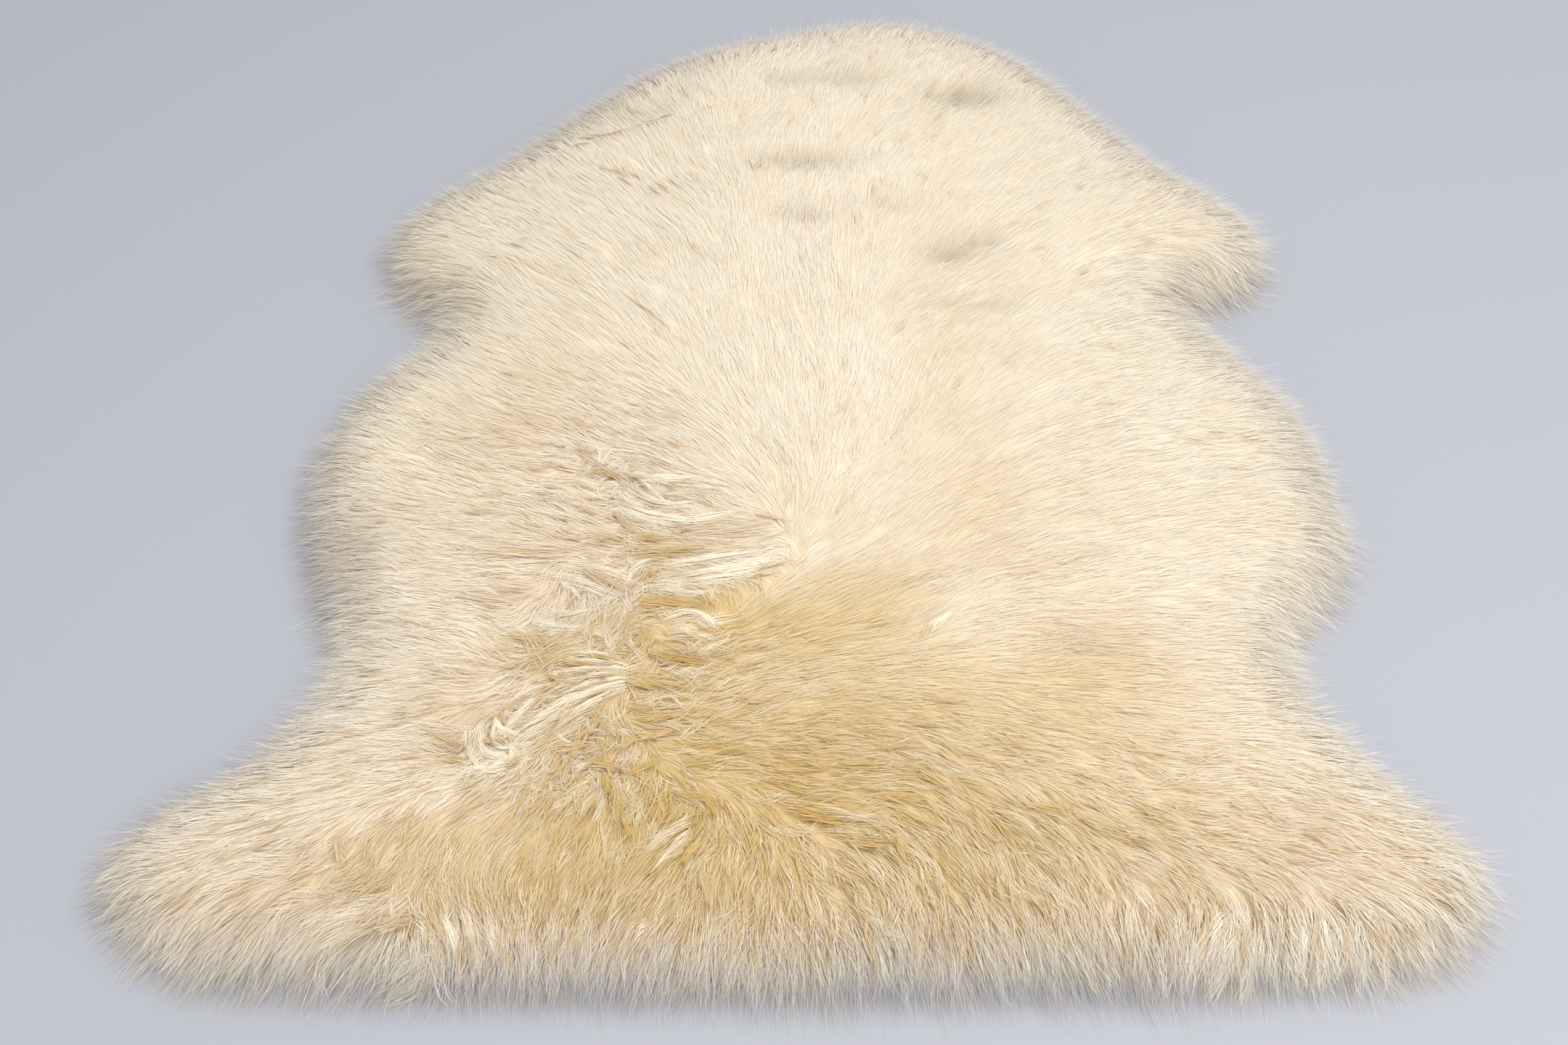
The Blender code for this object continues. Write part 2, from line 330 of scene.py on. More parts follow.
# %% Which way the comb went
COMB = (
    # place, across, along, degrees
    ("nape", 0.094, 0.478, 65),
    ("neck middle", -0.006, 0.428, 68),
    ("neck left", -0.130, 0.400, 118),
    ("neck right", 0.200, 0.400, 55),
    ("parting, left side", -0.110, 0.328, 125),
    ("parting, right side", -0.030, 0.328, 62),
    ("shoulder blade, right", 0.144, 0.328, 50),
    ("shoulder, left", -0.206, 0.228, 138),
    ("shoulder, far left", -0.306, 0.278, 145),
    ("withers, left", -0.106, 0.228, 130),
    ("withers", 0.010, 0.228, 80),
    ("shoulder, right", 0.244, 0.228, 47),
    ("foreleg, right", 0.344, 0.228, 40),
    ("foreleg tip, right", 0.414, 0.178, 20),
    ("foreleg sole, right", 0.374, 0.152, -30),
    ("chest, left", -0.306, 0.128, 145),
    ("foreleg, left", -0.350, 0.190, 160),
    ("back, left", -0.206, 0.100, 140),
    ("back", -0.006, 0.100, 92),
    ("chest, right", 0.144, 0.078, 40),
    ("belly top, left", -0.306, 0.028, 143),
    ("fan, left", -0.056, 0.010, 112),
    ("fan, middle", -0.006, 0.010, 95),
    ("fan, right", 0.060, -0.040, 62),
    ("ribs, right", 0.294, -0.022, 18),
    ("belly, right", 0.344, -0.072, 10),
    ("belly, left", -0.306, -0.072, 168),
    ("fan edge, left", -0.090, -0.055, 150),
    ("knot, above", -0.150, -0.060, 165),
    ("loin, left", -0.200, -0.120, 168),
    ("loin", 0.060, -0.120, 50),
    ("loin, right", 0.194, -0.122, 22),
    ("flank, far right", 0.414, -0.152, -8),
    ("flank, right", 0.294, -0.172, 13),
    ("flank, left", -0.306, -0.172, 171),
    ("leaf", -0.060, -0.160, 187),
    ("leaf, root", -0.048, -0.158, 184),
    ("leaf, tip", -0.018, -0.160, 186),
    ("fan root, left", -0.042, -0.132, 132),
    ("fan root, above", -0.012, -0.138, 100),
    ("fan root, right", 0.008, -0.150, 42),
    ("spine, left", -0.020, -0.182, 205),
    ("spine, right", 0.020, -0.178, 28),
    ("croup, left", -0.110, -0.190, 175),
    ("croup", 0.010, -0.220, 28),
    ("croup, right", 0.114, -0.222, 27),
    ("hip, left", -0.306, -0.232, 163),
    ("hip, near left", -0.230, -0.272, 152),
    ("rump", 0.000, -0.302, 14),
    ("croup, by the curls", -0.050, -0.285, 20),
    ("rump, by the curls", -0.088, -0.330, 14),
    ("rump, by the flick", -0.050, -0.362, 10),
    ("curls", -0.150, -0.270, 200),
    ("sheath", -0.175, -0.318, 228),
    ("knot, left of", -0.250, -0.340, 178),
    ("rump, right", 0.194, -0.272, 5),
    ("hip, right", 0.294, -0.322, 5),
    ("hip, far right", 0.300, -0.365, 0),
    ("haunch, right", 0.344, -0.402, -4),
    ("seam right, above", 0.144, -0.372, -17),
    ("seam far right, above", 0.230, -0.375, -8),
    ("seam left, above", 0.040, -0.375, 3),
    ("seam middle", 0.040, -0.415, -13),
    ("seam middle, below", 0.055, -0.452, -50),
    ("seam right", 0.150, -0.412, -42),
    ("seam right, below", 0.140, -0.448, -78),
    ("seam far right", 0.230, -0.415, -18),
    ("seam far right, below", 0.240, -0.452, -36),
    ("haunch, right below", 0.300, -0.428, -8),
    ("thigh, right", 0.300, -0.458, -34),
    ("hind leg, right first side", 0.365, -0.452, -13),
    ("hind leg, right", 0.414, -0.442, -8),
    ("hind leg sole, right", 0.410, -0.490, -42),
    ("haunch, left", -0.306, -0.322, 180),
    ("haunch, far left", -0.306, -0.372, 190),
    ("thigh, left", -0.360, -0.440, 198),
    ("thigh, near left", -0.290, -0.440, 250),
    ("hind leg, left", -0.430, -0.440, 188),
    ("hind leg sole, left", -0.400, -0.490, 217),
    ("sweep, left", -0.300, -0.478, 194),
    ("sweep, far left", -0.345, -0.500, 232),
    ("sweep, front", -0.280, -0.515, 206),
    ("rump, left", -0.200, -0.420, 238),
    ("rump, near left", -0.160, -0.400, 236),
    ("seam end, left", -0.130, -0.370, 240),
    ("tail, far left", -0.215, -0.480, 298),
    ("tail, left front", -0.190, -0.512, 285),
    ("tail, left", -0.170, -0.470, 266),
    ("tail, near left", -0.090, -0.430, 236),
    ("tuft, tail left", -0.100, -0.490, 222),
    ("tail", -0.030, -0.455, 266),
    ("tail, right", 0.080, -0.478, 278),
    ("tail, far right", 0.180, -0.490, 302),
    ("tuft, right", 0.212, -0.470, 268),
    ("fringe, left", -0.150, -0.505, 266),
    ("fringe, middle", 0.000, -0.505, 271),
    ("fringe, near right", 0.130, -0.512, 298),
    ("tuft right, first side", 0.240, -0.500, 300),
    ("tuft right, second side", 0.282, -0.498, 232),
    ("fringe, far right", 0.335, -0.500, 264),
    ("fringe, hind leg", 0.375, -0.505, 300),
)

print("the comb has", len(COMB), "places")

# %% [markdown]
# ## The comb's direction everywhere
#
# Between the places the direction is blended, and each row counts more the nearer it is. Then
# the lifted locks sweep the wool round them along, and near the edge the wool turns outwards.
#
# A second chart says where the comb runs apart. The modelled strands are thinner on the ground
# than real ones and would show a dark crack there, so the wool is kept fuller and paler.

# %% The comb's direction everywhere
COMB_NEARNESS = 3.0  # a place's weight falls off as this power of the distance
COMB_SOFTNESS = 0.015  # and this is added to the distance, so it is never nothing
SWEPT_REACH, SWEPT_SHARE = 0.011, 0.5  # how far and how much a lock sweeps the wool round it
SWEPT_EVERY = 3  # only every third place of a lock's line is needed for that
EDGE_TURN = 0.060  # nearer to the outline than this the wool turns outwards
EDGE_SHARE = 0.55  # and at the outline it has turned by this share
FULLY_APART = 35  # radians a metre, where the comb runs apart as much as it can


def comb_charts():
    """The comb's direction as two charts, of its run across and its run along."""
    total_x, total_y = np.zeros(plan_x.shape), np.zeros(plan_x.shape)
    for _, across, along, degrees in COMB:
        gap = np.hypot(plan_x - across, plan_y - along) + COMB_SOFTNESS
        weight = gap ** -COMB_NEARNESS
        total_x += weight * math.cos(math.radians(degrees))
        total_y += weight * math.sin(math.radians(degrees))
    size = np.hypot(total_x, total_y) + 1e-12
    total_x, total_y = total_x / size, total_y / size
    for line in named_lines[:, ::SWEPT_EVERY]:
        for (x, y), (run_x, run_y) in zip(line, np.gradient(line, axis=0)):
            run = np.hypot(run_x, run_y) + 1e-12
            near = np.exp(-((plan_x - x) ** 2 + (plan_y - y) ** 2) / SWEPT_REACH**2)
            total_x += SWEPT_SHARE * near * run_x / run
            total_y += SWEPT_SHARE * near * run_y / run
    swept = np.hypot(total_x, total_y) + 1e-12
    total_x, total_y = total_x / swept, total_y / swept
    near_edge = EDGE_SHARE * np.clip(1 - inset.values / EDGE_TURN, 0, 1)
    total_x += (outward_x.values - total_x) * near_edge
    total_y += (outward_y.values - total_y) * near_edge
    return Chart(softened(total_x, 2)), Chart(softened(total_y, 2))


comb_x, comb_y = comb_charts()
running_apart = np.gradient(comb_x.values, axis=1) + np.gradient(comb_y.values, axis=0)
apart = Chart(np.clip(softened(running_apart, 1) / CHART_STEP / FULLY_APART, 0, 1))


def combed(x, y):
    """The comb's direction at each point, as unit vectors in plan."""
    run_x, run_y = comb_x.at(x, y), comb_y.at(x, y)
    size = np.hypot(run_x, run_y) + 1e-9
    return run_x / size, run_y / size


print("the comb runs apart at", np.sum(apart.values > 0.5), "points")

# %% [markdown]
# ## Colour by region
#
# Sheep's wool is cream where the sun and the rain bleach it, and honey where its own grease
# stays. The one fades into the other, so the colour can't be painted with hard edges. Each row
# of the table is a soft round patch of honey, and a chart adds the patches up, from 0 to 1. A few
# small patches below and beside the lifted locks are painted warm shade rather than grease.


# %% Where the wool is honey-coloured
def patches(ground, table):
    """A chart of soft patches on an even ground."""
    total = np.full(plan_x.shape, ground)
    for _, across, along, half_width, half_length, strength in table:
        far = ((plan_x - across) / half_width) ** 2 + ((plan_y - along) / half_length) ** 2
        total += strength * np.exp(-far)
    return Chart(np.clip(total, 0, 1))


HONEY = (
    # patch, across, along, half width, half length, strength
    ("rump", 0.010, -0.335, 0.160, 0.095, 0.58),
    ("croup", -0.002, -0.252, 0.078, 0.034, 0.40),
    ("rump, by the curls", -0.085, -0.330, 0.035, 0.060, 0.16),
    ("hip, right", 0.200, -0.330, 0.110, 0.060, 0.36),
    ("haunch, right", 0.280, -0.415, 0.120, 0.040, 0.18),
    ("rump, left", -0.120, -0.390, 0.110, 0.070, 0.46),
    ("tail", 0.030, -0.440, 0.240, 0.045, 0.50),
    ("tail, left", -0.240, -0.440, 0.070, 0.030, 0.22),
    ("fringe", 0.020, -0.480, 0.300, 0.030, 0.16),
    ("knot", -0.140, -0.130, 0.060, 0.040, 0.10),
    ("below the wave", -0.110, -0.176, 0.036, 0.013, 0.30),
    ("curls", -0.120, -0.285, 0.060, 0.050, 0.22),
    ("back, right", 0.130, -0.020, 0.045, 0.200, 0.20),
    ("back, left", -0.205, -0.030, 0.050, 0.060, 0.24),
    ("ribs, right", 0.150, -0.150, 0.100, 0.050, 0.16),
    ("seam", 0.085, -0.402, 0.055, 0.020, 0.22),
    ("belly, left", -0.250, -0.100, 0.070, 0.110, 0.12),
    ("hip, left", -0.200, -0.280, 0.050, 0.040, 0.18),
    ("croup, left", -0.040, -0.254, 0.045, 0.022, 0.34),
    ("fan root", -0.010, -0.125, 0.050, 0.040, 0.16),
    ("croup, right", 0.204, -0.264, 0.060, 0.036, 0.30),
    ("foreleg sole, left", -0.245, 0.126, 0.060, 0.012, 0.14),
    ("thigh, left", -0.265, -0.430, 0.040, 0.030, 0.14),
    ("loin, right", 0.165, -0.205, 0.045, 0.030, 0.18),
    ("rump, right", 0.050, -0.400, 0.100, 0.030, 0.14),
    ("leaf, below", -0.078, -0.194, 0.046, 0.016, 0.42),
    ("long slot", -0.074, -0.234, 0.044, 0.015, 0.56),
    ("spine, below", 0.045, -0.210, 0.050, 0.020, 0.30),
    ("croup, rim", 0.064, -0.240, 0.032, 0.018, 0.24),
    ("curls, above", -0.140, -0.262, 0.024, 0.022, 0.30),
    ("fan root, below", -0.066, -0.288, 0.036, 0.024, 0.36),
    ("sheath, below", -0.222, -0.322, 0.018, 0.018, 0.36),
    ("knot, left of it", -0.240, -0.352, 0.014, 0.010, 0.24),
    ("leaf", -0.052, -0.162, 0.036, 0.012, 0.14),
    ("flank, below", -0.180, -0.190, 0.050, 0.020, 0.12),
)
HONEY_GROUND = 0.05

honey = patches(HONEY_GROUND, HONEY)
print(len(HONEY), "patches of honey, up to", round(honey.values.max(), 2))

# %% [markdown]
# ## Bleached wool, painted light and faint clouds
#
# Bleached wool is nearly white at its tips. The plain patches of it are listed. Some of these
# patches are painted light instead: paler wool where the lamps leave lifted locks and the slopes
# of the rim in shade. Besides them a fleece has faint clouds of tone all over, which nobody could
# list, so they are a few hundred patches with random places and strengths, some paler than the
# wool round them and some deeper.

# %% Where the wool is bleached, and where it is painted lighter
BLEACHED_AND_LIT = (
    # patch, across, along, half width, half length, strength
    ("knot", -0.150, -0.114, 0.060, 0.026, 0.60),
    ("back, low", -0.052, -0.092, 0.034, 0.020, 0.50),
    ("flank lock", -0.224, -0.258, 0.026, 0.030, 0.90),
    ("flank, below", -0.184, -0.204, 0.026, 0.014, 0.50),
    ("ribs, left", -0.305, 0.050, 0.026, 0.100, 0.55),
    ("belly, left", -0.310, -0.060, 0.026, 0.060, 0.40),
    ("wave", -0.102, -0.146, 0.036, 0.018, 0.48),
    ("spine lock", -0.006, -0.190, 0.040, 0.013, 0.90),
    ("spine lock, end", -0.046, -0.204, 0.028, 0.010, 0.60),
    ("round tuft", -0.078, -0.252, 0.018, 0.011, 0.60),
    ("sheath", -0.158, -0.303, 0.044, 0.012, 0.60),
    ("lower knot", -0.210, -0.356, 0.028, 0.018, 0.70),
    ("haunch, left", -0.255, -0.388, 0.050, 0.014, 0.85),
    ("croup, right", 0.132, -0.254, 0.046, 0.030, 0.45),
    ("tuft, right", 0.276, -0.480, 0.040, 0.014, 0.50),
    ("foreleg sole, left", -0.335, 0.148, 0.045, 0.026, 0.80),
    ("waist, left", -0.345, -0.255, 0.034, 0.050, 0.80),
    ("hip, left", -0.308, -0.272, 0.020, 0.020, 0.60),
    ("waist, right", 0.395, -0.250, 0.034, 0.050, 0.80),
    ("armpit, right", 0.365, 0.145, 0.034, 0.026, 0.80),
)
CLOUDS, CLOUD_SEED, CLOUD_STRENGTH = 260, 11, (-0.27, 0.27)
CLOUD_FIELD = (-0.5, 0.5)  # about as far as the rug goes, each way
CLOUD_HALF_WIDTH, CLOUD_HALF_LENGTH = (0.018, 0.050), (0.010, 0.026)
CLOUD_GROUND = 0.5  # high enough for a cloud to go below it
CLOUD_TAKES, BLEACH_TAKES = 0.15, 0.5  # how much of the honey they take away


def faint_clouds():
    """Tones from below 0 to above it, all over the rug."""
    random = np.random.default_rng(CLOUD_SEED)
    spans = (CLOUD_FIELD, CLOUD_FIELD, CLOUD_HALF_WIDTH, CLOUD_HALF_LENGTH, CLOUD_STRENGTH)
    rows = [("cloud", *(random.uniform(*span) for span in spans)) for _ in range(CLOUDS)]
    return patches(CLOUD_GROUND, rows).values - CLOUD_GROUND


clouds = faint_clouds()
bleached_and_lit = patches(0.0, BLEACHED_AND_LIT)
bleached_and_lit.values += clouds
honey.values -= CLOUD_TAKES * clouds
honey.values *= 1 - BLEACH_TAKES * bleached_and_lit.values
print("honey from", round(honey.values.min(), 2), "to", round(honey.values.max(), 2))

# %% [markdown]
# ## Where the wool gathers into locks
#
# Over the neck and the back the wool is brushed as smooth as velvet. Towards the tail it is
# longer and looser, and gathers into locks with a point each. Left of the spine it has been
# ruffled, and there it lies every way. Soft patches add up again to how loose and how ruffled
# the wool is, from 0 to 1. A strength below 0 makes a smoother place in loose wool.

# %% How loose and how ruffled the wool is
LOOSE = (
    # patch, across, along, half width, half length, strength
    ("fringe", 0.000, -0.520, 0.700, 0.080, 0.65),
    ("rump", 0.050, -0.400, 0.250, 0.080, 0.40),
    ("hip, left", -0.150, -0.300, 0.120, 0.120, 0.40),
    ("hip, right", 0.220, -0.300, 0.150, 0.080, -0.08),
    ("knot", -0.145, -0.115, 0.066, 0.085, 0.45),
    ("haunch, left", -0.350, -0.400, 0.120, 0.120, 0.15),
    ("haunch, right", 0.380, -0.420, 0.120, 0.080, 0.15),
    ("belly, left", -0.300, -0.100, 0.080, 0.150, 0.10),
)
RUFFLED = (
    # patch, across, along, half width, half length, strength
    ("knot, upper", -0.142, -0.106, 0.028, 0.012, 0.70),
    ("lifted lock", -0.118, -0.155, 0.024, 0.022, 0.40),
    ("below the leaf", -0.115, -0.205, 0.034, 0.020, 0.45),
    ("curls", -0.120, -0.268, 0.040, 0.026, 0.55),
    ("sheath", -0.165, -0.315, 0.034, 0.028, 0.45),
    ("comb roots, left", -0.084, -0.300, 0.020, 0.060, 0.50),
    ("knot, lower", -0.208, -0.348, 0.026, 0.024, 0.90),
    ("hooks", -0.150, -0.355, 0.030, 0.022, 0.85),
    ("flick", -0.120, -0.380, 0.034, 0.016, 0.60),
    ("seam, left", -0.060, -0.408, 0.040, 0.014, 0.40),
    ("seam, middle", 0.030, -0.425, 0.060, 0.018, 0.22),
    ("seam, right", 0.140, -0.425, 0.050, 0.020, 0.14),
    ("thigh, left", -0.280, -0.445, 0.040, 0.020, 0.35),
    ("tail, left", -0.235, -0.485, 0.024, 0.016, 0.30),
    ("hind leg, right", 0.350, -0.482, 0.030, 0.014, 0.30),
)
LOOSE_GROUND = 0.08

loose = patches(LOOSE_GROUND, LOOSE)
ruffled = patches(0.0, RUFFLED)
print("loose from", round(loose.values.min(), 2), "to", round(loose.values.max(), 2))

# %% [markdown]
# ## Dents and their painted shade
#
# A hand or a foot leaves shallow dips in deep pile. The wool in them leans away from the light
# and looks browner. A dip as shallow as this hardly shades itself, so a dent both lowers the
# combed surface a little and deepens the wool's colour with painted shade.

# %% Dents and their painted shade
DENT_SHADES = (
    # patch, across, along, half width, half length, strength
    ("neck, right", 0.169, 0.373, 0.036, 0.018, 0.80),
    ("nape", 0.059, 0.399, 0.034, 0.017, 0.46),
    ("nape, left", -0.001, 0.399, 0.022, 0.012, 0.40),
    ("neck, middle", 0.010, 0.278, 0.044, 0.013, 0.64),
    ("withers", 0.011, 0.204, 0.028, 0.013, 0.46),
    ("shoulder blade", 0.140, 0.152, 0.024, 0.012, 0.78),
    ("shoulder blade, upper", 0.168, 0.170, 0.024, 0.011, 0.66),
    ("shoulder blade, top", 0.090, 0.217, 0.028, 0.013, 0.22),
    ("shoulder", 0.164, 0.087, 0.040, 0.008, 0.34),
    ("shoulder, left end", 0.089, 0.093, 0.024, 0.010, 0.18),
    ("back", 0.017, -0.047, 0.020, 0.012, 0.14),
    ("neck, left", -0.056, 0.319, 0.024, 0.013, 0.20),
    ("neck corner, left", -0.148, 0.351, 0.030, 0.013, 0.26),
    ("foreleg, left", -0.240, 0.130, 0.030, 0.012, 0.06),
    ("armpit, left", -0.285, 0.098, 0.024, 0.010, 0.05),
    ("armpit, right", 0.345, 0.112, 0.026, 0.010, 0.28),
    ("chest, right", 0.352, 0.035, 0.016, 0.016, 0.16),
    ("waist, left", -0.342, -0.170, 0.022, 0.042, 0.42),
    ("fold, right", 0.428, -0.085, 0.008, 0.040, 0.24),
    ("flank, right", 0.385, -0.245, 0.022, 0.030, 0.05),
    ("leaf", -0.046, -0.160, 0.036, 0.010, 0.20),
    ("croup, right", 0.212, -0.266, 0.040, 0.020, 0.26),
    ("fan root", 0.004, -0.180, 0.007, 0.026, 0.26),
    ("loin, right", 0.140, -0.190, 0.028, 0.012, 0.14),
    ("sheath", -0.165, -0.340, 0.018, 0.018, 0.14),
    ("tail, all along", 0.000, -0.462, 0.300, 0.026, 0.07),
    ("haunch, right", 0.270, -0.437, 0.110, 0.018, 0.18),
    ("haunch, far right", 0.350, -0.403, 0.028, 0.018, 0.16),
    ("haunch, left", -0.252, -0.350, 0.024, 0.016, 0.16),
    ("thigh, left", -0.245, -0.440, 0.030, 0.014, 0.12),
    ("fringe, right", 0.100, -0.495, 0.028, 0.012, 0.12),
)

dent_shade = patches(0.0, DENT_SHADES)
print(len(DENT_SHADES), "smudges")

# %% [markdown]
# ## The ashen edge
#
# Over the edge of the hide the wool is thin and stands in its own shade, which takes its warmth
# away. That shade is painted: the wool turns grey towards the edge, which also blends the thin
# wool into the floor's grey. It is most ashen under the tail, where the fringe hangs down in
# front, and least in the hollows at the legs. The chart fades inwards from the outline, in a
# narrow band and a wide one.

# %% How ashen the edge is
RIM_SHADE = (
    # stretch of the rim, across, along, half width, half length, how much more ashen
    ("foreleg sole, left", -0.345, 0.150, 0.045, 0.034, -0.42),
    ("armpit, left", -0.310, 0.085, 0.045, 0.050, -0.46),
    ("waist, left", -0.348, -0.270, 0.045, 0.050, -0.50),
    ("foreleg sole, right", 0.400, 0.135, 0.055, 0.038, -0.42),
    ("waist, right", 0.390, -0.235, 0.050, 0.050, -0.50),
    ("hind leg, left", -0.420, -0.490, 0.080, 0.036, -0.38),
    ("hind leg, right", 0.400, -0.505, 0.080, 0.030, -0.38),
    ("tail, left", -0.130, -0.520, 0.130, 0.030, 0.22),
    ("tail, right", 0.060, -0.510, 0.050, 0.030, 0.32),
    ("tail, far right", 0.180, -0.525, 0.080, 0.024, 0.18),
)
RIM_GROUND = 0.38
LEFT_SHARE, TAIL_SHARE = 0.08, 0.14  # more where the rim faces left, and where it faces the tail
ASHEN_REACH = 0.024  # the narrow band
FADED_REACH, FADED = 0.055, 0.14  # the wide one, which the tail has none of

inwards = np.maximum(inset.values, 0)
rim_shade = patches(RIM_GROUND, RIM_SHADE).values
rim_shade = rim_shade - LEFT_SHARE * outward_x.values - TAIL_SHARE * outward_y.values
faded = FADED * np.clip(1 + outward_y.values, 0, 1) * np.exp(-inwards / FADED_REACH)
ashen_shade = Chart(np.clip(rim_shade * np.exp(-inwards / ASHEN_REACH) + faded, 0, 1))
print("ashen up to", round(ashen_shade.values.max(), 2))
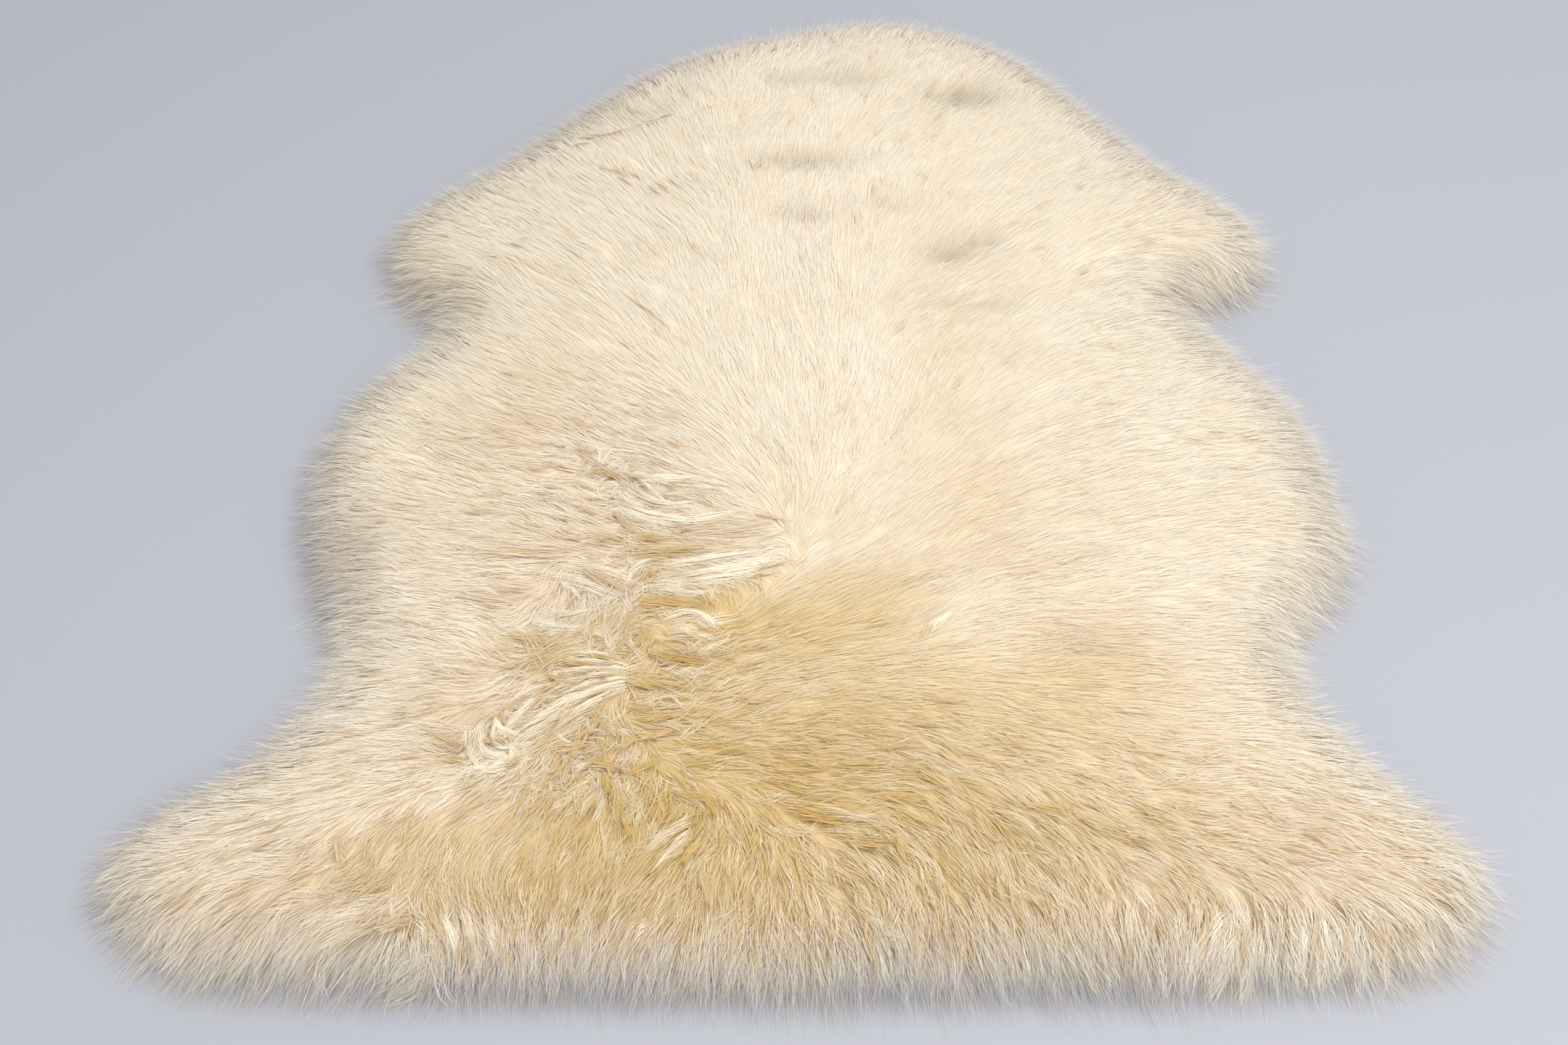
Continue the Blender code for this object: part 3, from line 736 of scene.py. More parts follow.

# %% [markdown]
# ## Partings
#
# Where two locks part, the eye looks down to the yellower, greasy wool near the skin, which lies
# in shade. So the ochre of a parting is partly that wool's own colour and partly painted shade.
# Such a parting is a narrow slot along the locks on both sides of it. The plain ones are listed,
# with the way that each one lies and how far it opens, from 0 to 1.

# %% Where locks part
PARTINGS = (
    # slot, across, along, degrees, half length, half width, depth
    ("neck corner, first", -0.180, 0.314, 4, 0.016, 0.0016, 0.60),
    ("neck corner, second", -0.160, 0.318, 12, 0.012, 0.0014, 0.50),
    ("neck corner, third", -0.133, 0.329, 14, 0.012, 0.0016, 0.60),
    ("neck corner, fourth", -0.116, 0.337, 18, 0.008, 0.0010, 0.40),
    ("neck corner, fifth", -0.192, 0.304, 10, 0.009, 0.0012, 0.35),
    ("neck, left first", -0.168, 0.262, -32, 0.007, 0.0010, 0.45),
    ("neck, left second", -0.156, 0.257, -34, 0.008, 0.0011, 0.50),
    ("neck, left third", -0.150, 0.246, -38, 0.008, 0.0012, 0.50),
    ("neck, left fourth", -0.140, 0.252, -40, 0.006, 0.0010, 0.40),
    ("neck, left fifth", -0.122, 0.232, -46, 0.009, 0.0013, 0.60),
    ("neck, left sixth", -0.114, 0.236, -50, 0.008, 0.0012, 0.55),
    ("neck, left seventh", -0.106, 0.242, -52, 0.007, 0.0010, 0.45),
    ("withers, left first", -0.132, 0.086, -42, 0.009, 0.0012, 0.50),
    ("withers, left second", -0.120, 0.076, -44, 0.009, 0.0012, 0.45),
    ("foreleg, left first", -0.240, 0.162, -24, 0.008, 0.0012, 0.40),
    ("foreleg, left second", -0.262, 0.150, -20, 0.008, 0.0012, 0.40),
    ("foreleg sole, left first", -0.318, 0.128, 6, 0.010, 0.0016, 0.55),
    ("foreleg sole, left second", -0.298, 0.126, 10, 0.009, 0.0014, 0.50),
    ("armpit, right first", 0.342, 0.120, -12, 0.010, 0.0014, 0.55),
    ("armpit, right second", 0.354, 0.114, -16, 0.009, 0.0014, 0.50),
    ("loin, right first", 0.180, -0.202, 12, 0.013, 0.0013, 0.38),
    ("loin, right second", 0.214, -0.188, 30, 0.011, 0.0013, 0.40),
    ("hip flick", 0.100, -0.258, 58, 0.008, 0.0020, 0.55),
    ("hip, right first", 0.247, -0.328, -6, 0.014, 0.0014, 0.34),
    ("hip, right second", 0.253, -0.362, -8, 0.014, 0.0014, 0.34),
    ("rump, right first", 0.109, -0.319, -6, 0.013, 0.0028, 0.50),
    ("rump, right second", 0.097, -0.340, -8, 0.012, 0.0018, 0.42),
    ("rump, right third", 0.074, -0.356, 18, 0.011, 0.0022, 0.52),
    ("rump, right fourth", 0.048, -0.372, 0, 0.013, 0.0018, 0.44),
    ("knot, streak", -0.143, -0.104, -38, 0.024, 0.0030, 0.22),
    ("wave, over", -0.083, -0.124, -24, 0.022, 0.0024, 0.25),
    ("lifted lock, foot", -0.106, -0.184, 0, 0.016, 0.0070, 0.35),
    ("leaf", -0.052, -0.163, 8, 0.034, 0.0080, 0.22),
    ("leaf, tip", -0.014, -0.151, -14, 0.013, 0.0016, 0.50),
    ("leaf, tip below", -0.012, -0.167, 25, 0.012, 0.0015, 0.35),
    ("long, wide", -0.082, -0.234, -3, 0.026, 0.0055, 0.45),
    ("fan root, wide", -0.095, -0.305, -10, 0.020, 0.0080, 0.55),
    ("knot, left of it", -0.240, -0.353, -30, 0.014, 0.0060, 0.65),
    ("curls, left of them", -0.186, -0.276, -60, 0.016, 0.0060, 0.38),
    ("hooks, wide", -0.148, -0.351, 75, 0.012, 0.0050, 0.65),
    ("flank, below", -0.196, -0.183, -4, 0.022, 0.0050, 0.30),
    ("knot, first", -0.154, -0.103, 20, 0.007, 0.0030, 0.9),
    ("knot, second", -0.140, -0.108, -15, 0.009, 0.0030, 0.9),
    ("lifted lock, side", -0.127, -0.158, -50, 0.014, 0.0030, 0.7),
    ("lifted lock, toe", -0.107, -0.171, -10, 0.009, 0.0035, 0.9),
    ("leaf, root", -0.083, -0.163, 25, 0.008, 0.0025, 0.8),
    ("leaf, below", -0.088, -0.184, 5, 0.026, 0.0060, 0.7),
    ("leaf, below right", -0.045, -0.182, 8, 0.022, 0.0025, 0.4),
    ("spine, first", -0.012, -0.197, 22, 0.012, 0.0015, 0.6),
    ("spine, second", -0.022, -0.206, 18, 0.012, 0.0015, 0.6),
    ("curl", -0.106, -0.206, 60, 0.007, 0.0050, 0.8),
    ("diagonal", -0.137, -0.214, -32, 0.022, 0.0035, 0.7),
    ("flank, upper", -0.205, -0.187, -8, 0.032, 0.0022, 0.45),
    ("flank, lower", -0.225, -0.228, -12, 0.022, 0.0022, 0.45),
    ("long", -0.085, -0.233, -3, 0.022, 0.0035, 0.7),
    ("tuft, side", -0.109, -0.262, 75, 0.011, 0.0035, 0.8),
    ("tuft, below", -0.080, -0.284, -10, 0.020, 0.0045, 1.0),
    ("fan, first", -0.153, -0.288, -5, 0.010, 0.0022, 1.0),
    ("fan, second", -0.134, -0.283, -10, 0.012, 0.0018, 0.7),
    ("fan, third", -0.166, -0.300, -5, 0.009, 0.0022, 0.9),
    ("fan, root", -0.103, -0.306, -12, 0.014, 0.0035, 1.0),
    ("sheath, top", -0.190, -0.266, -10, 0.014, 0.0045, 0.7),
    ("lower knot, inside", -0.210, -0.352, 0, 0.008, 0.0030, 0.8),
    ("lower knot, right", -0.204, -0.335, -70, 0.007, 0.0022, 0.8),
    ("lower knot, outside", -0.236, -0.366, -5, 0.010, 0.0030, 0.9),
    ("lower knot, below", -0.193, -0.368, 40, 0.006, 0.0025, 0.8),
    ("hooks, first", -0.147, -0.345, 50, 0.007, 0.0030, 0.9),
    ("hooks, second", -0.139, -0.334, 50, 0.005, 0.0022, 0.9),
    ("hooks, third", -0.150, -0.358, 10, 0.012, 0.0030, 0.8),
    ("flick", -0.136, -0.368, 30, 0.008, 0.0026, 1.0),
    ("flick, right", -0.126, -0.374, -10, 0.011, 0.0030, 0.8),
    ("flick, below", -0.127, -0.391, -70, 0.008, 0.0035, 0.9),
    ("rump, left first", -0.115, -0.354, 60, 0.009, 0.0030, 0.7),
    ("rump, left second", -0.102, -0.375, 30, 0.011, 0.0022, 0.7),
    ("rump, left third", -0.095, -0.349, 15, 0.014, 0.0022, 0.6),
    ("rump, left fourth", -0.090, -0.333, 8, 0.018, 0.0022, 0.5),
    ("seam, first", -0.057, -0.405, -70, 0.008, 0.0030, 1.0),
    ("seam, second", -0.066, -0.398, -15, 0.014, 0.0022, 0.8),
    ("seam, third", 0.012, -0.410, -10, 0.015, 0.0032, 1.0),
    ("seam, fourth", 0.024, -0.416, -8, 0.016, 0.0032, 1.0),
    ("seam, fifth", 0.052, -0.433, -5, 0.014, 0.0045, 0.9),
    ("seam, sixth", 0.078, -0.398, -5, 0.013, 0.0035, 0.6),
    ("seam, seventh", 0.073, -0.440, -75, 0.010, 0.0022, 0.7),
    ("seam, eighth", 0.145, -0.427, -60, 0.012, 0.0030, 0.8),
    ("seam, ninth", 0.172, -0.407, -15, 0.014, 0.0030, 0.8),
    ("seam, tenth", 0.100, -0.386, -35, 0.012, 0.0032, 0.6),
    ("seam, far left", -0.112, -0.422, -70, 0.008, 0.0032, 0.8),
    ("seam, near left", -0.065, -0.433, 60, 0.012, 0.0018, 0.6),
    ("tail", -0.058, -0.465, -80, 0.012, 0.0025, 0.6),
    ("tail, left first", -0.259, -0.486, 15, 0.012, 0.0035, 0.8),
    ("tail, left second", -0.235, -0.488, -60, 0.010, 0.0022, 0.6),
    ("thigh, left first", -0.262, -0.420, 80, 0.010, 0.0032, 0.6),
    ("thigh, left second", -0.304, -0.441, -70, 0.010, 0.0035, 0.6),
    ("tuft, right", 0.296, -0.500, 80, 0.012, 0.0030, 0.7),
    ("tuft, far right", 0.345, -0.492, 78, 0.012, 0.0018, 0.6),
    ("hind leg, right first", 0.388, -0.494, -45, 0.016, 0.0025, 0.6),
)

named_slots = np.array([row[1:] for row in PARTINGS])
print(len(named_slots), "named partings")

# %% [markdown]
# ## Small partings
#
# Combed wool has small partings all over, too many to list. They are scattered at random and lie
# along the comb, give or take a few degrees. Loose wool parts often and deep, smooth wool rarely.

# %% Small partings
SMALL_SLOTS, SLOT_SEED = 1300, 70
SLOT_TRIES = 20  # places tried for each small slot
SLOT_CHANCE, SLOT_RARE = 0.4, 0.05
SMOOTH_BELOW = 0.1  # wool that is less loose than this parts only rarely
SLOT_MARGIN = 0.012  # no small slot comes nearer to the outline
SLOT_ASTRAY = 12  # degrees that a small slot lies off the comb, give or take
SLOT_HALF_LENGTH, SLOT_HALF_WIDTH = (0.005, 0.013), (0.0010, 0.0022)
SLOT_OPENS = (0.15, 0.75)
SMOOTH_OPENS, LOOSER_OPENS = 0.4, 1.5  # smooth wool opens by this share, and looser wool by more


def scattered_slots(count, seed):
    """Small slots along the comb, more and deeper where the wool is loose."""
    random = np.random.default_rng(seed)
    x = random.uniform(cad_low.x, cad_high.x, SLOT_TRIES * count)
    y = random.uniform(cad_low.y, cad_high.y, SLOT_TRIES * count)
    chance = np.clip(loose.at(x, y) - SMOOTH_BELOW, 0, 1) + SLOT_RARE
    chance = chance * (inset.at(x, y) > SLOT_MARGIN)
    keep = np.flatnonzero(random.uniform(0, 1, x.size) < chance * SLOT_CHANCE)[:count]
    x, y = x[keep], y[keep]
    run_x, run_y = combed(x, y)
    degrees = np.degrees(np.arctan2(run_y, run_x)) + random.normal(0, SLOT_ASTRAY, x.size)
    half_length = random.uniform(*SLOT_HALF_LENGTH, x.size)
    half_width = random.uniform(*SLOT_HALF_WIDTH, x.size)
    opens = np.clip(SMOOTH_OPENS + LOOSER_OPENS * loose.at(x, y), 0, 1)
    depth = random.uniform(*SLOT_OPENS, x.size) * opens
    return np.stack([x, y, degrees, half_length, half_width, depth], 1)


small_slots = scattered_slots(SMALL_SLOTS, SLOT_SEED)
print(len(small_slots), "small partings")

# %% [markdown]
# ## A finer chart for the partings
#
# Most slots are only a few millimetres wide, which the other charts' grid would miss. So the
# partings have a chart of their own with half the step. Each slot is drawn only in the window of
# the chart that it reaches, and where two slots cross, the deeper one shows.

# %% The partings' chart
SLOT_STEP = CHART_STEP / 2
SLOT_WINDOW = 2.5  # a slot is drawn as far as this many of its half lengths


def slot_chart(slots):
    """How far the locks have parted at each point of a fine grid, from 0 to 1."""
    chart = Chart(None, SLOT_STEP)
    chart.values = np.zeros((len(chart.along), len(chart.across)))
    for x, y, degrees, half_length, half_width, depth in slots:
        reach = SLOT_WINDOW * half_length
        columns = slice(*np.searchsorted(chart.across, (x - reach, x + reach)))
        rows = slice(*np.searchsorted(chart.along, (y - reach, y + reach)))
        dx, dy = np.meshgrid(chart.across[columns] - x, chart.along[rows] - y)
        cos, sin = math.cos(math.radians(degrees)), math.sin(math.radians(degrees))
        u, v = (dx * cos + dy * sin) / half_length, (dy * cos - dx * sin) / half_width
        window = chart.values[rows, columns]
        np.maximum(window, depth * np.exp(-u * u - v * v), out=window)
    return chart


parted = slot_chart(np.concatenate([named_slots, small_slots]))
print("the partings' chart has", parted.values.shape, "points")

# %% [markdown]
# ## Shader sums as plain expressions
#
# A finish is a chain of nodes, and a chain is easier to read as arithmetic. One small class
# wraps a socket and turns +, -, * and ** into Math nodes. Colours keep to Mix nodes, because a
# Math node would turn them grey. Another class holds a material and adds any other node.


# %% A material's nodes
class Wire:
    """A socket that takes part in sums."""

    def __init__(self, paint, socket):
        self.paint, self.socket = paint, socket

    def sum(self, operation, first, second):
        """One Math node."""
        return self.paint.add("ShaderNodeMath", {"operation": operation}, {0: first, 1: second})

    def __add__(self, other):
        return self.sum("ADD", self, other)

    def __radd__(self, other):
        return self.sum("ADD", other, self)

    def __sub__(self, other):
        return self.sum("SUBTRACT", self, other)

    def __rsub__(self, other):
        return self.sum("SUBTRACT", other, self)

    def __mul__(self, other):
        return self.sum("MULTIPLY", self, other)

    def __rmul__(self, other):
        return self.sum("MULTIPLY", other, self)

    def __pow__(self, other):
        return self.sum("POWER", self, other)


class Paint:
    """A material and the nodes that make it."""

    def __init__(self, name, uniform):
        self.material = bpy.data.materials.new(name)
        self.material.use_nodes = True
        self.tree = self.material.node_tree
        self.shader = self.tree.nodes["Principled BSDF"]
        self.wear(uniform)

    def add(self, kind, settings=None, inputs=None, output=0):
        """Adds a node: its settings first, then the values or wires of its sockets."""
        node = self.tree.nodes.new(kind)
        for name, value in (settings or {}).items():
            setattr(node, name, value)
        for name, value in (inputs or {}).items():
            self.plug(node.inputs[name], value)
        return Wire(self, node.outputs[output])

    def plug(self, socket, value):
        """Links a wire to a socket, or sets the socket to a plain value."""
        if isinstance(value, Wire):
            self.tree.links.new(value.socket, socket)
        else:
            socket.default_value = value

    def number(self, name):
        """One of the mesh's own numbers."""
        return self.add("ShaderNodeAttribute", {"attribute_name": name}, output=2)

    def noise(self, scale, detail=2.0, roughness=0.5):
        """Soft random patches, so many to the metre."""
        place = self.add("ShaderNodeTexCoord", output=3)
        sockets = {"Vector": place, "Scale": scale, "Detail": detail, "Roughness": roughness}
        return self.add("ShaderNodeTexNoise", inputs=sockets)

    def mix(self, share, first, second, blend="MIX"):
        """A colour between two colours."""
        settings = {"data_type": "RGBA", "blend_type": blend}
        return self.add("ShaderNodeMix", settings, {0: share, 6: first, 7: second}, output=2)

    def wear(self, sockets):
        """Gives the shader's own sockets these numbers, colours or wires."""
        for socket, value in sockets.items():
            self.plug(self.shader.inputs[socket], value)


print("sums on wires become Math nodes")

# %% [markdown]
# ## The colours of the wool
#
# The charts say what the wool is like at each place, and here it gets its colours. Every strand
# carries its own numbers: how far along itself a point is, and the charts' values there. The
# finish reads them, so one material serves all the wool. A strand is ochre near its root, where
# the grease stays and where painted shade stands for the gaps between the locks, and pale towards
# its tip, where the light reaches it: partly bleaching and partly a painted highlight.

# %% Wool colours
CREAM = (0.850, 0.783, 0.666, 1.0)
HONEY_COLOUR = (0.665, 0.480, 0.185, 1.0)
OCHRE = (0.520, 0.325, 0.095, 1.0)
WHITE = (0.925, 0.865, 0.720, 1.0)
GLEAM = (0.980, 0.895, 0.720, 1.0)  # where locks stand up into the light
# Painted shade, for the dents.
SHADE = (0.520, 0.440, 0.330, 1.0)
# Painted shade at the edge, grey enough to blend the thinning wool into the floor.
ASHEN_SHADE = (0.490, 0.482, 0.485, 1.0)
TONES_TO_THE_METRE, TONE_SPREAD = 18.0, 0.25  # soft blotches, warmer and cooler
ROOT_FADE = 1.6  # how soon a strand loses the ochre of its root
# A root's ochre is partly grease and partly painted shade between the locks.
ROOT_OCHRE, LOOSE_OCHRE = 0.16, 0.85  # ochre at any root, and more at a loose one
# The white towards a tip is partly bleaching and partly a painted highlight.
ROOT_WHITE, TIP_WHITE = 0.1, 0.7  # white all along pale wool, and more at its tip
GLEAM_FROM, GLEAM_SHARE = 0.65, 0.8  # only the palest wool gleams
# The ochre of a parting is partly greasy wool and partly painted shade in the slot.
PARTED_OCHRE = 0.90
WOOL_SHEEN = {"Sheen Weight": 0.15, "Sheen Roughness": 0.5}


def wool_colour(paint):
    """Cream to honey by region, with painted shade in the dents and painted grey shade towards the
    edge.
    """
    warmth = paint.number("honey") + (paint.noise(TONES_TO_THE_METRE) - 0.5) * TONE_SPREAD
    colour = paint.mix(warmth, CREAM, HONEY_COLOUR)
    colour = paint.mix(paint.number("dent_shade"), colour, SHADE)
    return paint.mix(paint.number("ashen_shade"), colour, ASHEN_SHADE)


def strand_paint():
    """Combed strands: ochre at the root, most where the wool is loose, partly grease and partly
    painted shade; pale at the tip, partly bleaching and partly a painted highlight.
    """
    paint = Paint("combed wool", {"Roughness": 0.75, "Specular IOR Level": 0.2})
    paint.wear(WOOL_SHEEN)
    along, pale = paint.number("along"), paint.number("pale")
    root = (1 - along) ** ROOT_FADE * (paint.number("loose") * LOOSE_OCHRE + ROOT_OCHRE)
    colour = paint.mix(root, wool_colour(paint), OCHRE)
    colour = paint.mix(pale * (along * TIP_WHITE + ROOT_WHITE), colour, WHITE)
    colour = paint.mix((pale - GLEAM_FROM) * GLEAM_SHARE, colour, GLEAM)
    colour = paint.mix(paint.number("parted") * PARTED_OCHRE, colour, OCHRE)
    paint.wear({"Base Color": colour})
    return paint.material


strand_finish = strand_paint()
print("materials:", strand_finish.name)

# %% [markdown]
# ## Strands that are too fine to model
#
# Between the modelled strands there are a thousand finer ones. On the under-wool they are a
# noise that is stretched along the comb. A noise can only be stretched one way, so there are
# eight, one for each direction, and each shows where the comb runs its way. The under-wool
# carries the cosine and the sine of twice the comb's angle, because a streak has no front end
# and looks the same when it is turned half round.

# %% Combed noise
DIRECTIONS = 8
STREAKS_ACROSS, STREAKS_ALONG = 420.0, 36.0  # to the metre
STREAK_BUMP = {"Strength": 0.7, "Distance": 0.0020}
HONEY_BELOW, HONEY_STREAK = 0.60, 0.6  # dark streaks turn honey from here down, and how much
WHITE_ABOVE, WHITE_STREAK, WHITE_PALE = 0.50, 1.2, 0.4  # bright ones turn white from here up
# The deep ochre is partly grease and partly painted shade down in the pile.
DEEP_OCHRE, DEEP_LOOSE, DEEP_PARTED = 0.06, 0.45, 0.70  # ochre everywhere, if loose, if parted


def combed_noise(paint, across, along):
    """Noise in streaks along the comb, so many to the metre across it and along it."""
    place = paint.add("ShaderNodeTexCoord", output=3)
    run, total = 0.0, 0.0
    for k in range(DIRECTIONS):
        angle = math.pi * k / DIRECTIONS
        near = paint.number("comb_even") * math.cos(2 * angle)
        near = near + paint.number("comb_odd") * math.sin(2 * angle)
        sockets = {0: near - math.cos(2 * math.pi / DIRECTIONS), 1: 0.0}
        share = paint.add("ShaderNodeMath", {"operation": "MAXIMUM"}, sockets)
        stretch = (1 / along, 1 / across, 1 / across)
        sockets = {"Vector": place, "Rotation": (0, 0, angle), "Scale": stretch}
        turned = paint.add("ShaderNodeMapping", {"vector_type": "TEXTURE"}, sockets)
        sockets = {"Vector": turned, "Scale": 1.0, "Detail": 3.0, "Roughness": 0.65}
        run = run + share * paint.add("ShaderNodeTexNoise", inputs=sockets)
        total = total + share
    return paint.add("ShaderNodeMath", {"operation": "DIVIDE"}, {0: run, 1: total})


def underwool_paint():
    """The dense wool below the strands, in streaks and a little deeper in colour, with ochre that
    is partly grease and partly painted shade.
    """
    paint = Paint("under-wool", {"Roughness": 0.85, "Specular IOR Level": 0.2})
    paint.wear(WOOL_SHEEN)
    streaks = combed_noise(paint, STREAKS_ACROSS, STREAKS_ALONG)
    colour = paint.mix((HONEY_BELOW - streaks) * HONEY_STREAK, wool_colour(paint), HONEY_COLOUR)
    white = (streaks - WHITE_ABOVE) * WHITE_STREAK + paint.number("pale") * WHITE_PALE
    colour = paint.mix(white, colour, WHITE)
    deep = paint.number("loose") * DEEP_LOOSE + paint.number("parted") * DEEP_PARTED
    colour = paint.mix(deep + DEEP_OCHRE, colour, OCHRE)
    bump = paint.add("ShaderNodeBump", inputs={**STREAK_BUMP, "Height": streaks})
    paint.wear({"Base Color": colour, "Normal": bump})
    return paint.material


under_finish = underwool_paint()
print("the combed noise has", DIRECTIONS, "directions")

# %% [markdown]
# ## The hide
#
# The hide is the rug's real cut: a sheet of suede two or three millimetres thick, well inside
# the wool's outline. It could be a flat grid trimmed to shape, but the outline is known, so one
# face of its points moved inwards is simpler, and extruding it gives the sheet its thickness.

# %% The hide's helpers
HIDE_INSET = 0.050  # the wool hangs this far over the hide's edge
HIDE_THICKNESS = 0.0025
NOT_LOOPED = 0.96  # a moved point that is nearer than this share of the move lies on a loop


def moved_in(distance):
    """The outline moved inwards, without the loops that this makes at tight corners."""
    along = np.roll(outline, -1, 0) - np.roll(outline, 1, 0)
    along /= np.linalg.norm(along, axis=1)[:, None]
    points = outline + distance * np.stack([-along[:, 1], along[:, 0]], 1)
    keep = inset.at(points[:, 0], points[:, 1]) > NOT_LOOPED * distance
    return points[keep]


def flat_face(points, height):
    """A mesh with one face of these plan points."""
    body = bmesh.new()
    body.faces.new([body.verts.new((x, y, height)) for x, y in points])
    bmesh.ops.recalc_face_normals(body, faces=body.faces[:])
    return body


def piece_of(name, mesh, material):
    """A mesh as a piece of the rug, which moves with it."""
    mesh.shade_smooth()
    mesh.materials.append(material)
    piece = bpy.data.objects.new(name, mesh)
    bpy.context.scene.collection.objects.link(piece)
    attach(piece, "root")
    return piece


def finished(name, body, material):
    """A bmesh as a piece of the rug."""
    mesh = bpy.data.meshes.new(name)
    body.to_mesh(mesh)
    body.free()
    return piece_of(name, mesh, material)


print("the hide's edge is", HIDE_INSET, "in from the wool's")

# %% [markdown]
# ## Suede
#
# The flesh side of a tanned hide is buffed to a nap, which is far too fine to model. So a very
# fine grain stands for it, in tone and in bump, and large soft blotches show where the skin was
# thicker and took less of the tan.

# %% The hide
TAN, PALE_TAN, NAP = (0.55, 0.43, 0.29, 1.0), (0.72, 0.60, 0.44, 1.0), (0.82, 0.72, 0.57, 1.0)
BLOTCHES, GRAIN = (9.0, 4.0, 0.6), (900.0, 3.0, 0.7)  # to the metre, detail and roughness
NAP_SHARE = 0.5
NAP_BUMP = {"Strength": 0.4, "Distance": 0.0006}


def suede():
    """Suede, blotched and with a fine nap."""
    paint = Paint("suede", {"Roughness": 0.9, "Specular IOR Level": 0.2})
    blotches, grain = paint.noise(*BLOTCHES), paint.noise(*GRAIN)
    colour = paint.mix(grain * NAP_SHARE, paint.mix(blotches, PALE_TAN, TAN), NAP)
    bump = paint.add("ShaderNodeBump", inputs={**NAP_BUMP, "Height": grain})
    paint.wear({"Base Color": colour, "Normal": bump})
    return paint.material


body = flat_face(moved_in(HIDE_INSET), 0.0)
hide_area = sum(face.calc_area() for face in body.faces)
lifted = bmesh.ops.extrude_face_region(body, geom=body.faces[:])["geom"]
lifted = [item for item in lifted if isinstance(item, bmesh.types.BMVert)]
bmesh.ops.translate(body, verts=lifted, vec=(0, 0, HIDE_THICKNESS))
bmesh.ops.recalc_face_normals(body, faces=body.faces[:])
hide = finished("hide", body, suede())

# %% [markdown]
# ## The combed surface
#
# Combed out, all long wool ends at one soft surface. That is the fleece's height, less the dents
# that carry painted shade and the partings. What lies in it has two measures, for smooth wool and
# for loose wool, and one helper blends the two, which keeps a sum on them short.

# %% The combed surface
# A dent here is one of the dents that carry painted shade.
DENT_DEPTH, SLOT_DEPTH = 0.012, 0.004  # how far the deepest smudge and slot go down


def blend(smooth, rough, ease):
    """The smooth wool's number where ease is 0, and the loose wool's where it is 1."""
    return smooth + (rough - smooth) * ease


def combed_top(x, y):
    """The height of the combed surface, with its dents and partings."""
    return height.at(x, y) - DENT_DEPTH * dent_shade.at(x, y) - SLOT_DEPTH * parted.at(x, y)


print("the combed surface is up to", round(combed_top(plan_x, plan_y).max(), 4))

# %% [markdown]
# ## The under-wool
#
# Close to the hide the wool is so dense that no light gets through. Strands alone would let the
# eye down to the hide, unless there were millions of them. So there is a plain crowned body in
# their midst, a little lower than the combed surface and well inside its edge, where the wool
# thins out. It is one face cut in squares, lifted to the charts' heights and walled round.

# %% The under-wool
UNDERWOOL_INSET = 0.027
UNDERWOOL_DEPTH = (0.0018, 0.0045)  # below the combed surface, in smooth wool and in loose
UNDERWOOL_GRID = 0.010
UNDERWOOL_BASE = HIDE_THICKNESS + 0.0005
UNDERWOOL_LEAST = 0.004  # it is never thinner than this
EDGE_DROP, EDGE_DROP_REACH = 0.010, 0.014


def cut_in_squares(body, step):
    """Cuts a flat mesh along a square grid."""
    for axis, normal in ((0, Vector((1, 0, 0))), (1, Vector((0, 1, 0)))):
        for place in np.arange(cad_low[axis], cad_high[axis], step):
            geometry = body.verts[:] + body.edges[:] + body.faces[:]
            bmesh.ops.bisect_plane(body, geom=geometry, plane_co=normal * place, plane_no=normal)


def lift_to_wool(body):
    """Lifts a flat mesh to a little below the combed surface, and lower near its edge."""
    places = np.array([vertex.co for vertex in body.verts])
    x, y = places[:, 0], places[:, 1]
    from_edge = np.maximum(inset.at(x, y) - UNDERWOOL_INSET, 0)
    tops = combed_top(x, y) - blend(*UNDERWOOL_DEPTH, loose.at(x, y))
    tops = tops - EDGE_DROP * np.exp(-from_edge / EDGE_DROP_REACH)
    for vertex, top in zip(body.verts, tops):
        vertex.co.z = max(top, UNDERWOOL_BASE + UNDERWOOL_LEAST)


def wall_round(body, base):
    """Walls an open mesh down to a flat base and closes it."""
    rim = [edge for edge in body.edges if edge.is_boundary]
    lowered = bmesh.ops.extrude_edge_only(body, edges=rim)["geom"]
    for item in lowered:
        if isinstance(item, bmesh.types.BMVert):
            item.co.z = base
    rim = [item for item in lowered if isinstance(item, bmesh.types.BMEdge) and item.is_boundary]
    bmesh.ops.contextual_create(body, geom=rim)
    bmesh.ops.recalc_face_normals(body, faces=body.faces[:])


body = flat_face(moved_in(UNDERWOOL_INSET), 0.0)
cut_in_squares(body, UNDERWOOL_GRID)
lift_to_wool(body)
wall_round(body, UNDERWOOL_BASE)
underwool = finished("underwool", body, under_finish)
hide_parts("sheepskin")
print("the under-wool has", len(underwool.data.polygons), "faces")

# %% [markdown]
# ## What the under-wool's finish reads
#
# A material can't look up a chart, so the charts' values are written on the mesh, one number a
# vertex. The comb's direction is written as the cosine and sine of twice its angle.

# %% Numbers on the under-wool
APART_UNDER = 0.2  # less of everything by this share where the comb runs apart


def number(mesh, name, values):
    """Gives the mesh one number a vertex, for its material to read."""
    mesh.attributes.new(name, "FLOAT", "POINT").data.foreach_set("value", values)


places = np.array([vertex.co for vertex in underwool.data.vertices])
x, y = places[:, 0], places[:, 1]
run_x, run_y = combed(x, y)
regions = {"honey": honey, "dent_shade": dent_shade, "ashen_shade": ashen_shade, "loose": loose}
kept = 1 - APART_UNDER * apart.at(x, y)
carried = {label: chart.at(x, y) * kept for label, chart in regions.items()}
carried["parted"], carried["pale"] = parted.at(x, y), bleached_and_lit.at(x, y)
carried["comb_even"], carried["comb_odd"] = run_x * run_x - run_y * run_y, 2 * run_x * run_y
for label, values in carried.items():
    number(underwool.data, label, values)
print("the under-wool carries", list(carried))

